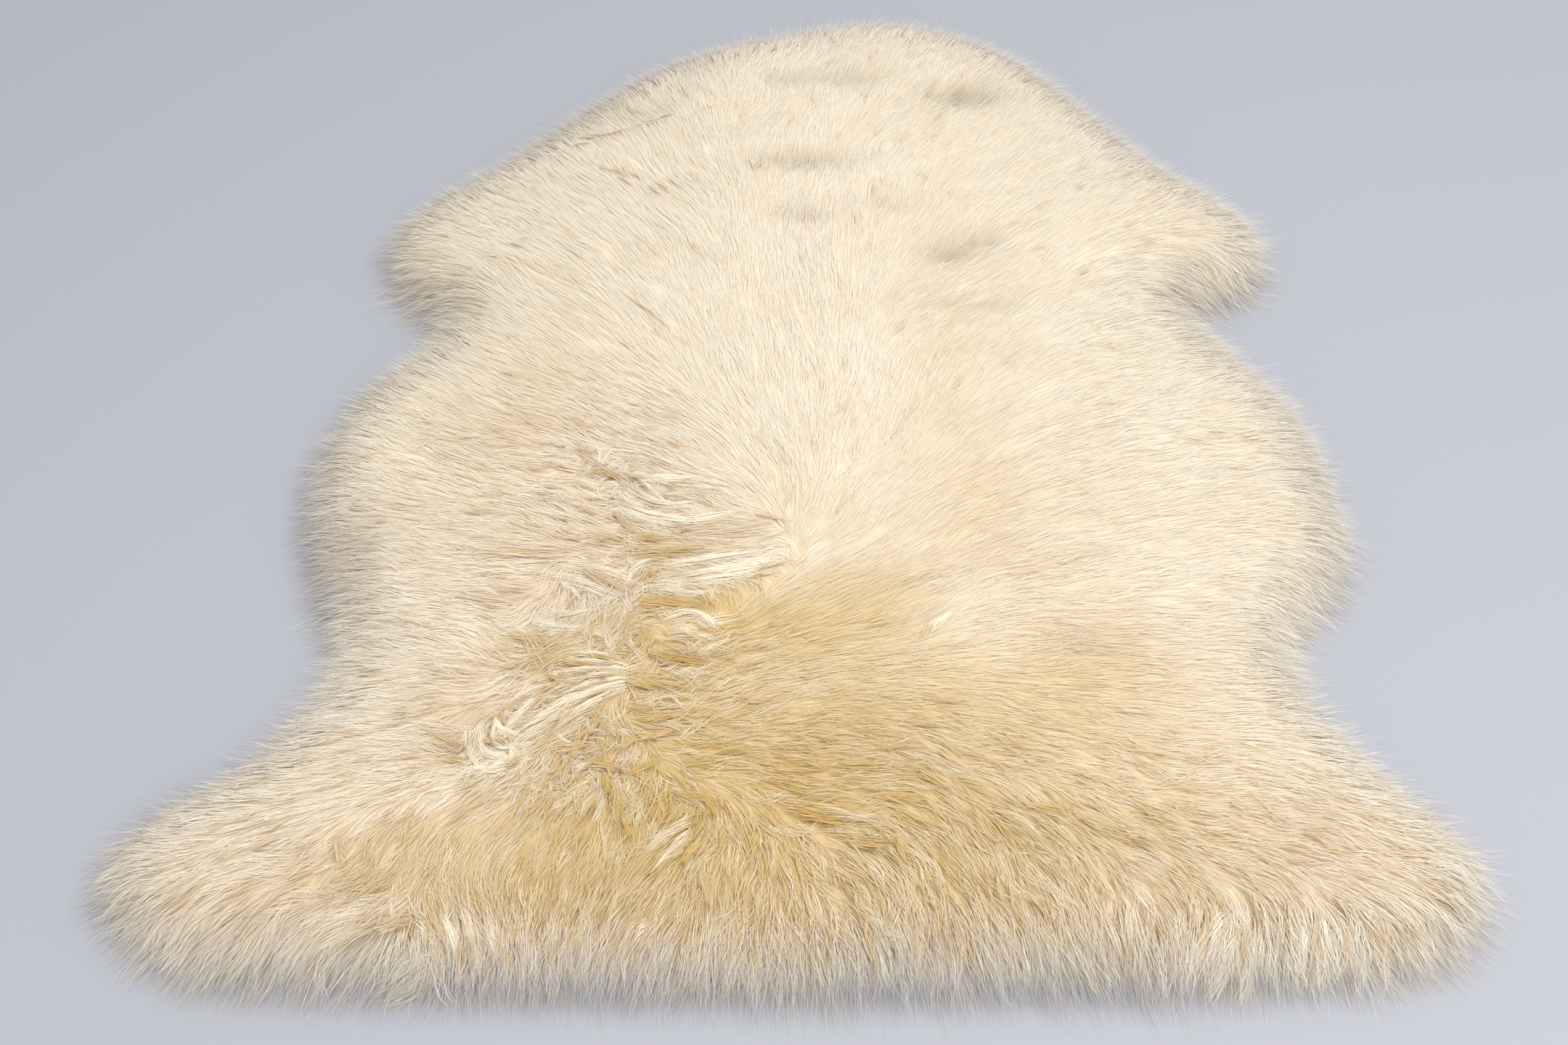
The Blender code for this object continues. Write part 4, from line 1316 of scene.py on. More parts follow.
# %% [markdown]
# ## Strands as ribbons
#
# A strand is a thin flat ribbon of a few faces that narrows to a point, because it is far too
# fine for anything rounder to show. A hundred thousand of them can't be separate objects, and
# hair curves would not come out as a mesh. So their corners are worked out together as arrays
# and joined in one mesh. Each ribbon has a pair of corners at every place but the tip.


# %% Strands as ribbons
CELL_FROM, CELL_TO, CELL_SIDES = 0.1, 0.9, (0.25, 0.75)  # where a ribbon lies in its map's cell


def ribbons(name, points, widths, tilt, numbers):
    """One mesh of many ribbons. points is strands x places x 3, and the last place is the tip."""
    strands, places = points.shape[:2]
    run = np.gradient(points, axis=1)
    run /= np.linalg.norm(run, axis=2)[..., None] + 1e-12
    side = np.cross(run, [0.0, 0.0, 1.0])
    side /= np.linalg.norm(side, axis=2)[..., None] + 1e-12
    over = np.cross(side, run)
    cos, sin = np.cos(tilt)[:, None, None], np.sin(tilt)[:, None, None]
    half = (side * cos + over * sin) * widths[..., None] / 2
    pairs = np.stack([points[:, :-1] - half[:, :-1], points[:, :-1] + half[:, :-1]], 2)
    corners = np.concatenate([pairs.reshape(strands, -1, 3), points[:, -1:]], 1)
    each = 2 * (places - 1) + 1
    start = np.arange(strands)[:, None] * each
    quads = np.arange(places - 2)[:, None] * 2 + np.array([0, 1, 3, 2])
    quads = start[:, :, None] + quads[None]
    tips = start + np.array([each - 3, each - 2, each - 1])
    loops = np.concatenate([quads.reshape(strands, -1), tips], 1).ravel()
    totals = np.tile([4] * (places - 2) + [3], strands)
    mesh = bpy.data.meshes.new(name)
    mesh.vertices.add(strands * each)
    mesh.vertices.foreach_set("co", corners.astype(np.float32).ravel())
    mesh.loops.add(len(loops))
    mesh.loops.foreach_set("vertex_index", loops.astype(np.int32))
    mesh.polygons.add(len(totals))
    mesh.polygons.foreach_set("loop_start", (np.cumsum(totals) - totals).astype(np.int32))
    mesh.update(calc_edges=True)
    corner_place = np.minimum(np.arange(each) // 2, places - 1)
    numbers = {"along": np.linspace(0, 1, places), **numbers}
    for label, values in numbers.items():
        spread = np.broadcast_to(values, (strands, places))[:, corner_place]
        number(mesh, label, spread.astype(np.float32).ravel())
    spread_map(mesh, strands, places, loops)
    return piece_of(name, mesh, strand_finish)


def spread_map(mesh, strands, places, loops):
    """Gives each ribbon a cell of its own in a square map, clear of the cell's edges."""
    each = 2 * (places - 1) + 1
    cells = math.ceil(math.sqrt(strands))
    u = np.repeat(np.linspace(CELL_FROM, CELL_TO, places)[:-1], 2)
    v = np.tile(CELL_SIDES, places - 1)
    u, v = np.append(u, CELL_TO), np.append(v, sum(CELL_SIDES) / 2)
    strand, corner = loops // each, loops % each
    spots = np.stack([strand % cells + u[corner], strand // cells + v[corner]], 1) / cells
    layer = mesh.uv_layers.new(name="OFBake")
    layer.data.foreach_set("uv", spots.astype(np.float32).ravel())


print("a ribbon of 5 places has", 2 * (5 - 1) + 1, "corners")

# %% [markdown]
# ## Locks
#
# Combed wool gathers into locks: some dozen strands that start apart and end in one point. So a
# lock is a line in plan first. Most lines follow the comb from their root, a step at a time, and
# bend away from it a little as their neighbours do, which soft random numbers see to. Ruffled
# wool has lines of its own, which turn and curl.

# %% The lines that locks follow
LATTICE = 128  # random numbers each way, which is many more than the rug has patches
TURNED_AT_ROOT = 0.3  # a lock has turned by this share of its turn at its root already


def soft_random(x, y, size, seed):
    """Smooth random numbers from -1 to 1 over the plan, with patches of this size."""
    lattice = np.random.default_rng(seed).uniform(-1, 1, (LATTICE, LATTICE))
    column, row = x / size + LATTICE / 2, y / size + LATTICE / 2
    i, j = np.floor(column).astype(int), np.floor(row).astype(int)
    u, v = column - i, row - j
    u, v = u * u * (3 - 2 * u), v * v * (3 - 2 * v)
    i, j = i % (LATTICE - 1), j % (LATTICE - 1)
    near = lattice[j, i] * (1 - u) + lattice[j, i + 1] * u
    far = lattice[j + 1, i] * (1 - u) + lattice[j + 1, i + 1] * u
    return near * (1 - v) + far * v


def combed_lines(roots, lengths, turns):
    """Lines that follow the comb from their roots, each a little turned from it."""
    line = np.empty((len(roots), LOCK_STEPS + 1, 2))
    at = roots.copy()
    step = (lengths / LOCK_STEPS)[:, None]
    for k in range(LOCK_STEPS + 1):
        line[:, k] = at
        run_x, run_y = combed(at[:, 0], at[:, 1])
        turn = turns * (k / LOCK_STEPS + TURNED_AT_ROOT)
        cos, sin = np.cos(turn), np.sin(turn)
        at = at + np.stack([run_x * cos - run_y * sin, run_x * sin + run_y * cos], 1) * step
    return line


def roots_in(step, least, most, seed, low_y=-1.0, high_y=1.0):
    """Roots about one step apart, between these distances in from the outline."""
    random = np.random.default_rng(seed)
    across = np.arange(cad_low.x, cad_high.x, step)
    x, y = np.meshgrid(across, np.arange(cad_low.y, cad_high.y, step))
    x = x.ravel() + random.uniform(-0.5, 0.5, x.size) * step
    y = y.ravel() + random.uniform(-0.5, 0.5, y.size) * step
    away = inset.at(x, y)
    keep = (away > least) & (away < most) & (y >= low_y) & (y < high_y)
    return np.stack([x[keep], y[keep]], 1)


print("a lock's line has", LOCK_STEPS, "steps")

# %% [markdown]
# ## Strands in their locks
#
# Every strand takes its places from its lock's line, then moves aside from it. The sums are the
# same for all kinds of wool, so one class holds the arrays, which are locks x strands x places.
# Its steps are called in turn: trim the locks at the edge, follow the lines, move aside, and
# join all the strands in one mesh once their heights are known.


# %% Strands in their locks
REACH = (0.70, 1.0)  # how far along its lock's line a strand ends
RAGGED = 0.014  # the shortest locks stop this far inside the outline
RAGGED_SPREAD = (1.3, 1.8)  # a beta spread, so that most of them stop close to the outline
LOWEST = 0.0006  # no strand goes through the floor
TAPER_FROM, WAIST = 2.5, 0.75  # a strand narrows near its tip, and is a little thinner at its root
STRAND_WIDTHS = (0.7, 1.3)
STRAND_HONEY, STRAND_PALE = 0.05, (0.4, 1.0)  # how strands of one lock differ


class Tresses:
    """The strands of many locks, while they are being laid."""

    def __init__(self, line, strands, places, random):
        self.line, self.random = line, random
        self.locks, self.strands, self.places = len(line), strands, places
        self.share = np.linspace(0, 1, places)
        self.start = np.zeros((self.locks, strands))
        self.reach = random.uniform(*REACH, (self.locks, strands))

    def trim(self, over):
        """Cuts back the locks that would reach too far over the edge."""
        allowed = over - (over + RAGGED) * self.random.beta(*RAGGED_SPREAD, self.locks)
        past = inset.at(self.line[..., 0], self.line[..., 1]) < -allowed[:, None]
        kept = np.where(past.any(1), past.argmax(1) / LOCK_STEPS, 1.0)[:, None]
        self.start, self.reach = self.start * kept, self.reach * kept

    def follow(self):
        """Puts each strand's places along its lock's line."""
        start, reach = self.start[..., None], self.reach[..., None]
        self.along = start + (reach - start) * self.share
        where = self.along * LOCK_STEPS
        k = np.minimum(where.astype(int), LOCK_STEPS - 1)
        part = (where - k)[..., None]
        rows = np.arange(self.locks)[:, None, None]
        run = self.line[rows, k + 1] - self.line[rows, k]
        self.plan = self.line[rows, k] + run * part
        run /= np.linalg.norm(run, axis=-1)[..., None] + 1e-12
        self.side = np.stack([-run[..., 1], run[..., 0]], -1)

    def normal(self, *shape):
        """Random numbers round 0, in an array of this shape."""
        return self.random.normal(0, 1, shape)

    def uniform(self, low, high, *shape):
        """Random numbers from low to high, in an array of this shape."""
        return self.random.uniform(low, high, shape)

    def aside(self, distance):
        """Moves every place this far to the left of its lock's line."""
        distance = np.broadcast_to(distance, self.plan.shape[:3])
        self.plan = self.plan + self.side * distance[..., None]

    def x(self):
        """How far across the rug every place is."""
        return self.plan[..., 0]

    def y(self):
        """How far along the rug every place is."""
        return self.plan[..., 1]

    def of_strands(self, values):
        """A number for each lock, or one for all, as one for each strand."""
        return np.repeat(np.broadcast_to(values, self.locks), self.strands)

    def mesh(self, name, heights, width, tilt, numbers):
        """Joins the strands in one mesh. All but the heights are one for each lock, or for all."""
        count = self.locks * self.strands
        points = np.concatenate([self.plan, np.maximum(heights, LOWEST)[..., None]], -1)
        points = points.reshape(count, self.places, 3)
        taper = WAIST + (1 - WAIST) * np.sin(math.pi * self.share)
        taper = np.clip(TAPER_FROM * (1 - self.share), 0, 1) * taper
        width = self.of_strands(width) * self.uniform(*STRAND_WIDTHS, count)
        tilt = self.of_strands(tilt) * self.normal(count)
        numbers = {label: self.of_strands(values) for label, values in numbers.items()}
        numbers["honey"] = np.clip(numbers["honey"] + STRAND_HONEY * self.normal(count), 0, 1)
        numbers["pale"] = numbers["pale"] * self.uniform(*STRAND_PALE, count)
        numbers = {label: values[:, None] for label, values in numbers.items()}
        x, y = points[..., 0], points[..., 1]
        numbers["parted"], numbers["dent_shade"] = parted.at(x, y), dent_shade.at(x, y)
        numbers["ashen_shade"] = numbers["ashen_shade"] + ashen_shade.at(x, y)
        return ribbons(name, points, width[:, None] * taper, tilt, numbers)


print("a strand reaches", REACH, "of its lock's line")

# %% [markdown]
# ## What each lock tells its finish
#
# The honey, the looseness and the paleness are read once for each lock, at its root, because a
# real lock is of one colour from end to end. The slots, the dents' painted shade and the painted
# shade at the edge are finer than a lock, so each vertex has its own.

# %% Numbers of the locks
# In ruffled wool the ochre roots also stand for painted shade between the tangled locks.
RUFFLED_LOOSE = 0.5  # ruffled wool shows its ochre roots too
APART_HONEY, APART_LOOSE = 0.12, 0.8  # less of them by this share where the comb runs apart


def region_numbers(roots, pale):
    """What the finish needs to know of each lock."""
    x, y = roots.T
    roots_show = loose.at(x, y) + RUFFLED_LOOSE * ruffled.at(x, y)
    return {
        "honey": honey.at(x, y) * (1 - APART_HONEY * apart.at(x, y)),
        "loose": roots_show * (1 - APART_LOOSE * apart.at(x, y)),
        "pale": pale + bleached_and_lit.at(x, y),
        "ashen_shade": 0.0,
    }


print("each lock carries", list(region_numbers(np.zeros((1, 2)), 0.0)))

# %% [markdown]
# ## How combed wool lies
#
# Smooth wool is short, fine and even. Loose wool is longer, bends in waves, and its locks close
# to a point and stand a little proud of each other. So each measure is a pair, for smooth wool
# and for loose wool, and the chart of looseness blends the two. A lock turns off the comb a
# little by itself, and more as its neighbours do: in wide patches, and in narrow ones where the
# wool is loose or ruffled.

# %% How combed wool lies
LENGTH = (0.030, 0.038)
LENGTHS_VARY = (0.75, 1.25)
WIDTH = (0.00036, 0.00046)
TILT = (7, 18)  # degrees, to either side of lying flat
LOCK_RADIUS = (0.0070, 0.0050)  # how far from the lock's line its strands start
START_DEPTH = (0.0016, 0.0052)  # and how far below the combed surface
CROWN = (0.0002, 0.0016)  # how much higher a lock is along its middle
BULGE = (0.0002, 0.0013)  # how much higher or lower than its neighbours
UNEVEN = (0.0002, 0.0006)  # how much higher or lower its strands are
WAVE = (0.0004, 0.0018)
RUFFLED_BULGE = 0.0018
OWN_TURN = (6, 12, 50)  # degrees in smooth wool, more in loose, more in ruffled
SHARED_TURNS = (
    # degrees, more in loose wool, more in ruffled, size of a patch, seed
    (14, 10, 0, 0.030, 11),
    (0, 18, 70, 0.013, 12),
)


def lock_turns(x, y, random):
    """How far the lock at each root turns off the comb."""
    ease, ruffle = loose.at(x, y), ruffled.at(x, y)
    smooth, looser, rougher = OWN_TURN
    turns = np.radians(smooth + looser * ease + rougher * ruffle) * random.normal(0, 1, len(x))
    for smooth, looser, rougher, size, seed in SHARED_TURNS:
        most = np.radians(smooth + looser * ease + rougher * ruffle)
        turns += most * soft_random(x, y, size, seed)
    return turns


print("combed wool is", LENGTH, "metres long")

# %% [markdown]
# ## Where a lock's strands go
#
# Strands start scattered round their lock's root and close in on its line. On the way they sway
# in one wave, a little out of step with each other. In height they come up out of the fleece
# to the combed surface and end just above it. Near the edge they stand out from the slope and
# sag instead. The fringe has no surface below it, so its strands fill the whole height there.

# %% Scattering, waves and heights
GATHER, GATHER_VARIES, GATHER_MOST = 0.85, 0.15, 0.9  # how far loose locks close to a point
CLOSING = 1.2  # they close as this power of the way
WAVE_LENGTH = (0.018, 0.034)
OUT_OF_STEP = 0.5  # radians
SPLAY = 0.06  # a strand leaves its lock by this share of its way
FLY_REACH = 0.070  # nearer to the edge than this, strands begin to fly out
FLY_FADE = 1.5  # and at a third of that distance they do so fully
SAG = (0.1, 1.0)
RISE_POWER = 1.5  # strands rise out of the fleece soon, and sag late
APART_SUNK = 0.6  # they start this much less deep where the comb runs apart
TIP_LIFT, FRINGE_LIFT = 0.001, 0.12
FRINGE_LEAST = 0.004


def gather(wool, ease, lengths):
    """Scatters the strands round their lock's root and closes them in.

    It returns how far from the lock's middle each one starts, from 0 to 1.
    """
    closes = GATHER * ease + GATHER_VARIES * wool.normal(wool.locks, 1, 1)
    angle = wool.uniform(0, 2 * np.pi, wool.locks, wool.strands)
    near = np.sqrt(wool.uniform(0, 1, wool.locks, wool.strands))
    scatter = np.stack([np.cos(angle), np.sin(angle)], -1) * near[..., None]
    closing = 1 - np.clip(closes, 0, GATHER_MOST) * wool.share**CLOSING
    closing = blend(*LOCK_RADIUS, ease) * closing
    wool.plan = wool.plan + scatter[:, :, None, :] * closing[..., None]
    phase = wool.uniform(0, 2 * np.pi, wool.locks, 1, 1)
    phase = phase + OUT_OF_STEP * wool.normal(wool.locks, wool.strands, 1)
    period = wool.uniform(*WAVE_LENGTH, wool.locks, 1, 1)
    travel = wool.reach[..., None] * wool.share * lengths
    sway = np.sin(2 * np.pi * travel / period + phase) * blend(*WAVE, ease) * wool.share
    wool.aside(sway + SPLAY * wool.normal(wool.locks, wool.strands, 1) * travel)
    return near


def surface_below(wool, from_edge):
    """The combed surface under the strands, or their own sagging line near the edge."""
    top = combed_top(wool.x(), wool.y())
    near_edge = np.clip(FLY_FADE - FLY_FADE * from_edge / FLY_REACH, 0, 1)
    sag = wool.uniform(*SAG, wool.locks, wool.strands, 1)
    line = top[..., :1] * (1 - sag * wool.share**RISE_POWER)
    return top + near_edge * np.maximum(line - top, 0)


def standing_proud(wool, ease, ruffle, near):
    """How far the strands stand off the surface: crowned locks, and no two alike."""
    proud = blend(*BULGE, ease) * wool.normal(wool.locks, 1, 1) * wool.share
    proud = proud + blend(*CROWN, ease) * (1 - near[..., None] ** 2)
    proud = proud + blend(*UNEVEN, ease) * wool.normal(wool.locks, wool.strands, 1)
    return proud + RUFFLED_BULGE * ruffle * wool.normal(wool.locks, 1, 1) * wool.share


print("waves are", WAVE_LENGTH, "metres long")

# %% [markdown]
# ## Combed wool
#
# The combed wool is grown in four bands from tail to neck, to keep each mesh small. The loose
# rump is seen closest, so its strands have the most places and bend the most smoothly. In loose
# wool one lock is paler than the next, and the paler it is, the less honey it has.

# %% Combed wool
PALE, PALE_VARIES, RUFFLED_PALE = 0.45, (0.12, 0.40), 0.45
HONEY_VARIES = (0.03, 0.15)
BAND_STEP, BAND_INSET = 0.0078, 0.020
ROOTS_SEED, BANDS_SEED = 100, 200


def combed_wool(name, roots, strands, places, seed, length=1.0, over=0.008, fill=None):
    """Wool that follows the comb from these roots.

    It starts below the combed surface and ends a little above it. The fringe has no surface to
    start from, so fill spreads its strands through that share of the height instead.
    """
    random = np.random.default_rng(seed)
    x, y = roots.T
    each = (slice(None), None, None)  # spreads a lock's number over its strands' places
    ease, ruffle, from_edge = loose.at(x, y), ruffled.at(x, y), inset.at(x, y)
    lengths = length * blend(*LENGTH, ease) * random.uniform(*LENGTHS_VARY, len(roots))
    line = combed_lines(roots, lengths, lock_turns(x, y, random))
    wool = Tresses(line, strands, places, random)
    wool.trim(over)
    wool.follow()
    near = gather(wool, ease[each], lengths[each])
    top = surface_below(wool, from_edge[each])
    proud = standing_proud(wool, ease[each], ruffle[each], near)
    if fill is None:
        sunk = blend(*START_DEPTH, ease[each]) * (1 - APART_SUNK * apart.at(x, y)[each])
        heights = top - sunk * (1 - wool.share) ** RISE_POWER + TIP_LIFT * wool.share
    else:
        level = blend(*fill, np.sqrt(wool.uniform(0, 1, len(roots), strands, 1)))
        heights = np.maximum(top, FRINGE_LEAST) * (level + FRINGE_LIFT * wool.share)
    whiter = random.uniform(-1, 1, len(roots))
    pale = PALE + blend(*PALE_VARIES, ease) * whiter + RUFFLED_PALE * ruffle
    numbers = region_numbers(roots, pale)
    numbers["honey"] = numbers["honey"] - blend(*HONEY_VARIES, ease) * whiter
    tilt = np.radians(blend(*TILT, ease))
    return wool.mesh(name, heights + proud, blend(*WIDTH, ease), tilt, numbers)


BANDS = (
    # piece, from, to, strands of a lock, places of a strand
    ("wool_rump", -1.00, -0.29, 9, 5),
    ("wool_loin", -0.29, -0.08, 10, 4),
    ("wool_back", -0.08, 0.14, 11, 3),
    ("wool_neck", 0.14, 1.00, 11, 3),
)
for seed, (name, low_y, high_y, strands, places) in enumerate(BANDS):
    roots = roots_in(BAND_STEP, BAND_INSET, 1.0, ROOTS_SEED + seed, low_y, high_y)
    piece = combed_wool(name, roots, strands, places, BANDS_SEED + seed)
    print(name, len(roots), "locks,", len(piece.data.polygons), "faces")

# %% [markdown]
# ## The fringe
#
# Over the edge of the hide there is no under-wool to lie on. A skirt of longer wool on top would
# leave a hollow there. So the fringe is the same combed wool, but its locks stand closer together
# and fill the whole height from the floor to the combed surface, out to the outline.

# %% The fringe
FRINGE_STEP, FRINGE_FROM, FRINGE_TO = 0.0058, 0.016, 0.050  # in from the outline
FRINGE_LONGER, FRINGE_OVER, FRINGE_FILLS = 1.1, 0.014, (0.1, 0.9)

roots = roots_in(FRINGE_STEP, FRINGE_FROM, FRINGE_TO, seed=300)
measures = {"length": FRINGE_LONGER, "over": FRINGE_OVER, "fill": FRINGE_FILLS}
fringe = combed_wool("fringe", roots, strands=7, places=5, seed=301, **measures)
print("fringe", len(roots), "locks,", len(fringe.data.polygons), "faces")

# %% [markdown]
# ## Wisps
#
# The longest hairs are too few and too fine to hide anything. They leave the fleece at every
# height near the edge, stand out past it and sink a little, and they are what makes it soft.
# The longer ones are curved. The finest are one thin triangle each, so there can be a great many.

# %% Wisps round the edge
WISP_LIMIT = 0.033  # no wisp passes the solid by more than this at any end
WISP_REACH = (0.5, 1.0)
WISP_TURN, WISP_TILT = 14, 20  # degrees
WISP_SCATTER, WISP_SPLAY = 0.005, 0.12
WISP_LOW, WISP_LEVELS = 0.9, 1.8  # how far down they leave the fleece, more of them high up
WISP_RISE, WISP_RISE_VARIES, WISP_RISE_MOST = 0.02, 0.12, 0.3  # shares of the way they go
WISP_SAG = (0.1, 0.5)
WISP_PALE = (0.0, 0.5)
# The wisps are painted grey shade too, most of all at the neck.
WISP_ASHEN, FAR_ASHEN = 0.25, 0.30  # and more at the neck, where they stand against the light
WISPS = (
    # piece, step, least and most in, seed, strands, places, lengths, width, over
    ("wisps", 0.0052, 0.004, 0.050, 400, 3, 4, (0.032, 0.060), 0.00020, 0.032),
    ("haze", 0.0046, -0.002, 0.040, 410, 15, 2, (0.022, 0.045), 0.00016, 0.036),
)


def wisps_of(name, roots, strands, places, seed, lengths, width, over):
    """Fine hairs that leave the fleece near its edge."""
    random = np.random.default_rng(seed)
    lengths = random.uniform(*lengths, len(roots))
    turns = np.radians(WISP_TURN) * random.normal(0, 1, len(roots))
    wisps = Tresses(combed_lines(roots, lengths, turns), strands, places, random)
    wisps.reach = random.uniform(*WISP_REACH, wisps.reach.shape)
    wisps.trim(over)
    wisps.follow()
    wisps.plan = wisps.plan + WISP_SCATTER * wisps.normal(len(roots), strands, 1, 2)
    travel = wisps.reach[..., None] * wisps.share * lengths[:, None, None]
    wisps.aside(WISP_SPLAY * wisps.normal(len(roots), strands, 1) * travel)
    farthest = np.array([rug_size.x, rug_size.y]) / 2 + WISP_LIMIT
    wisps.plan = np.clip(wisps.plan, -farthest, farthest)
    root_top = np.maximum(combed_top(wisps.x(), wisps.y())[..., :1], FRINGE_LEAST)
    level = 1 - WISP_LOW * wisps.uniform(0, 1, len(roots), strands, 1) ** WISP_LEVELS
    rise = WISP_RISE + WISP_RISE_VARIES * wisps.normal(len(roots), strands, 1)
    rise = np.clip(rise, -WISP_RISE_MOST, WISP_RISE_MOST)
    sag = wisps.uniform(*WISP_SAG, len(roots), strands, 1)
    heights = root_top * level + travel * (rise - sag * wisps.share)
    numbers = region_numbers(roots, random.uniform(*WISP_PALE, len(roots)))
    numbers["loose"] = 0.0
    numbers["ashen_shade"] = WISP_ASHEN + FAR_ASHEN * np.clip(outward_y.at(*roots.T), 0, 1)
    return wisps.mesh(name, heights, width, np.radians(WISP_TILT), numbers)


for name, step, least, most, seed, strands, places, lengths, width, over in WISPS:
    roots = roots_in(step, least, most, seed)
    piece = wisps_of(name, roots, strands, places, seed + 1, lengths, width, over)
    print(name, len(roots), "locks,", len(piece.data.polygons), "faces")

# %% [markdown]
# ## Ruffled wool
#
# A lock that lies its own way is not a cord, and swept as a tube it would look like one. Its
# strands come up out of the pile all along it, lie over the wool below for a few centimetres and
# end one by one, so it has a soft, feathered edge. It swells a little along its middle, which
# gives it its own light and shade.

# %% Laid locks
LAID_START, LAID_GOES = (0.0, 0.55), (0.35, 0.60)  # where strands start, and how much farther
LAID_OVER = 0.012
ROOT_OPEN, OPENS_BY, CLOSES_BY = 0.45, 2.0, 0.70  # a lock is widest soon after its root
STRAY, WAVER, WAVERS = 0.30, 0.18, 1.6
ARCH_FROM, ARCH_GOES = 0.10, 0.82  # the part of a half wave that a lock's arch is
LAID_TIP, LAID_ROOT, LAID_UNEVEN = 0.0012, 0.004, 0.0005
# Laid locks are painted paler, which is painted light against the shade of their own arches, and
# their ochre roots are painted shade.
LAID_PALE, LAID_HONEY, LAID_LOOSE = 2.2, 0.24, 0.5
LAID_WIDTH, LAID_TILT = 0.00036, 18


def laid_locks(name, line, half_width, lift, pale, strands, places, seed):
    """Locks along these lines, with a half width, a lift and a tone for each."""
    random = np.random.default_rng(seed)
    count = len(line)
    half_width, lift = half_width[:, None, None], lift[:, None, None]
    wool = Tresses(line, strands, places, random)
    wool.start = random.uniform(*LAID_START, wool.start.shape)
    wool.reach = np.minimum(wool.start + random.uniform(*LAID_GOES, wool.reach.shape), 1.0)
    wool.trim(LAID_OVER)
    wool.follow()
    along, share = wool.along, wool.share
    opens = np.clip(ROOT_OPEN + OPENS_BY * along, 0, 1) * (1 - CLOSES_BY * along**2)
    spot = wool.uniform(-1, 1, count, strands, 1)
    waver = np.sin(2 * np.pi * (along * WAVERS + wool.uniform(0, 1, count, 1, 1)))
    stray = STRAY * wool.normal(count, strands, 1) * share**RISE_POWER
    wool.aside(half_width * (spot * opens + stray + WAVER * waver * along))
    arch = np.sin(math.pi * np.clip(ARCH_FROM + ARCH_GOES * along, 0, 1))
    heights = combed_top(wool.x(), wool.y()) + lift * arch * (1 - spot**2)
    heights = heights + LAID_TIP * share - LAID_ROOT * (1 - share) ** RISE_POWER
    heights = heights + LAID_UNEVEN * wool.normal(count, strands, 1)
    numbers = region_numbers(line[:, 0], LAID_PALE * pale)
    numbers["honey"] = numbers["honey"] + LAID_HONEY * (1 - pale)
    numbers["loose"] = LAID_LOOSE
    return wool.mesh(name, heights, LAID_WIDTH, np.radians(LAID_TILT), numbers)


half_width, lift, pale = named_locks[:, 5:].T
piece = laid_locks(
    "lifted_locks", named_lines, half_width, lift, pale, strands=76, places=6, seed=500
)
print(len(LIFTED), "lifted locks,", len(piece.data.polygons), "faces")

# %% [markdown]
# ## Small ruffled locks
#
# Between the named locks lie hundreds that nobody could list. Their places are tried at random
# and kept more often where the wool is more ruffled. There they also turn farther off the comb.

# %% Small ruffled locks
SMALL_LOCKS, SMALL_SEED = 300, 510
LOCK_TRIES, LOCK_CHANCE = 120, 0.8
LOCK_ASTRAY, LOCK_CURL, RUFFLED_CURL = 40, (10, 40), 120  # degrees
LOCK_LENGTH = (0.020, 0.044)
LOCK_HALF_WIDTH, LOCK_LIFT, LOCK_PALE = (0.0020, 0.0045), (0.0003, 0.0020), (0.1, 0.8)


def small_lines(count, seed):
    """Lines for small locks in the ruffled places."""
    random = np.random.default_rng(seed)
    x = random.uniform(cad_low.x, cad_high.x, LOCK_TRIES * count)
    y = random.uniform(cad_low.y, cad_high.y, LOCK_TRIES * count)
    keep = random.uniform(0, 1, x.size) < ruffled.at(x, y) * LOCK_CHANCE
    x, y = x[keep][:count], y[keep][:count]
    run_x, run_y = combed(x, y)
    wild = ruffled.at(x, y)
    astray = np.radians(LOCK_ASTRAY) * wild * random.normal(0, 1, x.size)
    headings = np.arctan2(run_y, run_x) + astray
    side = random.choice([-1, 1], x.size)
    least, most = LOCK_CURL
    turns = side * np.radians(random.uniform(least, most + RUFFLED_CURL * wild))
    lengths = random.uniform(*LOCK_LENGTH, x.size)
    return curled_lines(np.stack([x, y], 1), lengths, headings, turns)


lines = small_lines(SMALL_LOCKS, SMALL_SEED)
random = np.random.default_rng(SMALL_SEED + 1)
half_width = random.uniform(*LOCK_HALF_WIDTH, len(lines))
lift = random.uniform(*LOCK_LIFT, len(lines))
pale = random.uniform(*LOCK_PALE, len(lines))
piece = laid_locks(
    "ruffled_locks", lines, half_width, lift, pale, strands=18, places=5, seed=SMALL_SEED + 2
)
print(len(lines), "small ruffled locks,", len(piece.data.polygons), "faces")

# %% [markdown]
# ## The wool in the partings
#
# In a parting the under side of the wool shows: short, close and ochre, because the grease stays
# there, and its ochre is partly painted shade in the slot too. A groove alone would only look
# shaded and not yellower. So a few short strands lie along each slot, in the slot's own narrow
# width, and thin out towards its ends. The larger slots need more of them.

# %% Wool in the partings
PARTING_RUNS = 1.3  # strands run past a slot's half length by this much
PARTING_START, PARTING_GOES = (0.0, 0.5), (0.3, 0.5)
PARTING_SPREAD, PARTING_STRAY = 0.5, 0.3
PARTING_LIFT = (0.0008, 0.0022)  # above the wool that the slot cuts, if smooth and if loose
PARTING_UNEVEN, PARTING_WIDTH, PARTING_TILT = 0.0005, 0.0005, 10
PARTING_WOOL = (
    # piece, slots, strands of a slot, seed
    ("large_partings", named_slots, 36, 520),
    ("small_partings", small_slots, 6, 521),
)


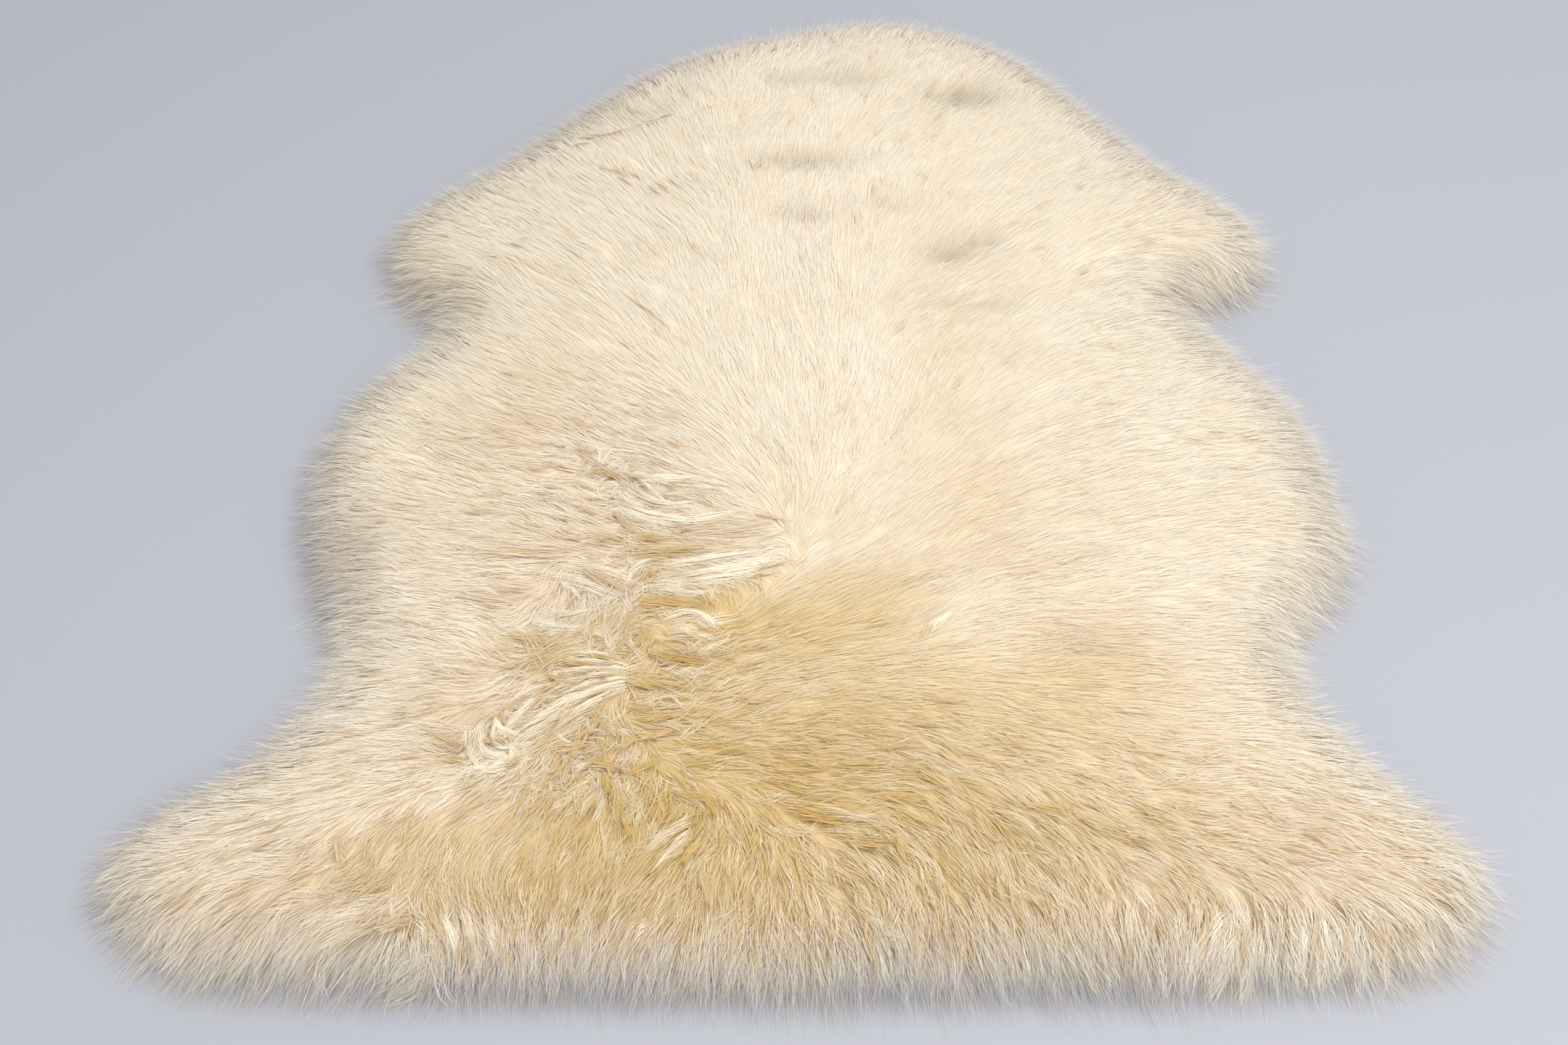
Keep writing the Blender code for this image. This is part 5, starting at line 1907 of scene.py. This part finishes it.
def parting_wool(name, slots, strands, seed):
    """Short ochre strands along each slot, level with the wool on both sides."""
    random = np.random.default_rng(seed)
    x, y, degrees, half_length, half_width, _ = slots.T
    angle = np.radians(degrees)
    run = np.stack([np.cos(angle), np.sin(angle)], -1) * half_length[:, None]
    steps = np.linspace(-PARTING_RUNS, PARTING_RUNS, LOCK_STEPS + 1)
    line = slots[:, None, :2] + run[:, None] * steps[:, None]
    wool = Tresses(line, strands, 3, random)
    wool.start = random.uniform(*PARTING_START, wool.start.shape)
    wool.reach = wool.start + random.uniform(*PARTING_GOES, wool.reach.shape)
    wool.follow()
    spot = PARTING_SPREAD * wool.normal(len(slots), strands, 1)
    spot = spot + PARTING_STRAY * wool.normal(len(slots), strands, 1) * wool.share
    wool.aside(half_width[:, None, None] * spot)
    x, y = wool.x(), wool.y()
    level = combed_top(x, y) + SLOT_DEPTH * parted.at(x, y) + blend(*PARTING_LIFT, loose.at(x, y))
    heights = level + PARTING_UNEVEN * wool.normal(len(slots), strands, 1)
    numbers = region_numbers(slots[:, :2], 0.0)
    return wool.mesh(name, heights, PARTING_WIDTH, np.radians(PARTING_TILT), numbers)


for name, slots, strands, seed in PARTING_WOOL:
    piece = parting_wool(name, slots, strands, seed)
    print(name, len(slots), "slots,", len(piece.data.polygons), "faces")

# %% [markdown]
# ## The studio
#
# The rug is looked at as someone who stands at its tail end would see it, from a little over a
# metre up. A large softbox overhead lights it from the right, and a smaller one fills in from
# the viewer's side, so that the wool has soft shadows and no hard ones. The floor is one large
# square of plain pale grey, and an even grey world lights what the lamps don't reach.

# %% The floor
FLOOR_HALF = 60.0
FLOOR_GREY = (0.388, 0.398, 0.440, 1.0)

floor_body = bmesh.new()
bmesh.ops.create_grid(floor_body, x_segments=1, y_segments=1, size=FLOOR_HALF)
floor_mesh = bpy.data.meshes.new("floor")
floor_body.to_mesh(floor_mesh)
floor_body.free()
floor = bpy.data.objects.new("floor", floor_mesh)
bpy.context.scene.collection.objects.link(floor)
floor_paint = Paint("pale floor", {"Roughness": 0.6, "Base Color": FLOOR_GREY})
floor_mesh.materials.append(floor_paint.material)
print("the floor is", 2 * FLOOR_HALF, "metres square")

# %% Lights and camera
LIT_PLACE = (0, -0.2, 0)  # all lamps point here
LAMPS = (
    # lamp, place, side, watts
    ("ceiling softbox", (0.9, -0.45, 3.3), 3.2, 104),
    ("fill", (0.6, -2.1, 2.3), 2.2, 33),
)
WORLD_GREY, WORLD_STRENGTH = (0.955, 0.955, 0.965, 1.0), 0.58
CAMERA_PLACE = (-0.006, -1.037, 1.142)
CAMERA_TILT_DOWN = 50.99
CAMERA_LENS, CAMERA_SENSOR = 41.8, 36.0


def soft_light(name, place, side, watts):
    """A square lamp that points at the rug."""
    light = bpy.data.lights.new(name, "AREA")
    light.shape = "SQUARE"
    light.size = side
    light.energy = watts
    lamp = bpy.data.objects.new(name, light)
    lamp.location = place
    lamp.rotation_euler = (Vector(LIT_PLACE) - Vector(place)).to_track_quat("-Z", "Y").to_euler()
    bpy.context.scene.collection.objects.link(lamp)


for lamp in LAMPS:
    soft_light(*lamp)
world = bpy.data.worlds.new("studio")
world.use_nodes = True
background = world.node_tree.nodes["Background"]
background.inputs["Color"].default_value = WORLD_GREY
background.inputs["Strength"].default_value = WORLD_STRENGTH
bpy.context.scene.world = world
bpy.context.scene.view_settings.view_transform = "Standard"

camera_data = bpy.data.cameras.new("camera")
camera_data.lens = CAMERA_LENS
camera_data.sensor_width = CAMERA_SENSOR
camera = bpy.data.objects.new("camera", camera_data)
camera.location = CAMERA_PLACE
camera.rotation_euler = (math.radians(90 - CAMERA_TILT_DOWN), 0, 0)
bpy.context.scene.collection.objects.link(camera)
bpy.context.scene.camera = camera
print(len(LAMPS), "lamps, and the camera at", CAMERA_PLACE)
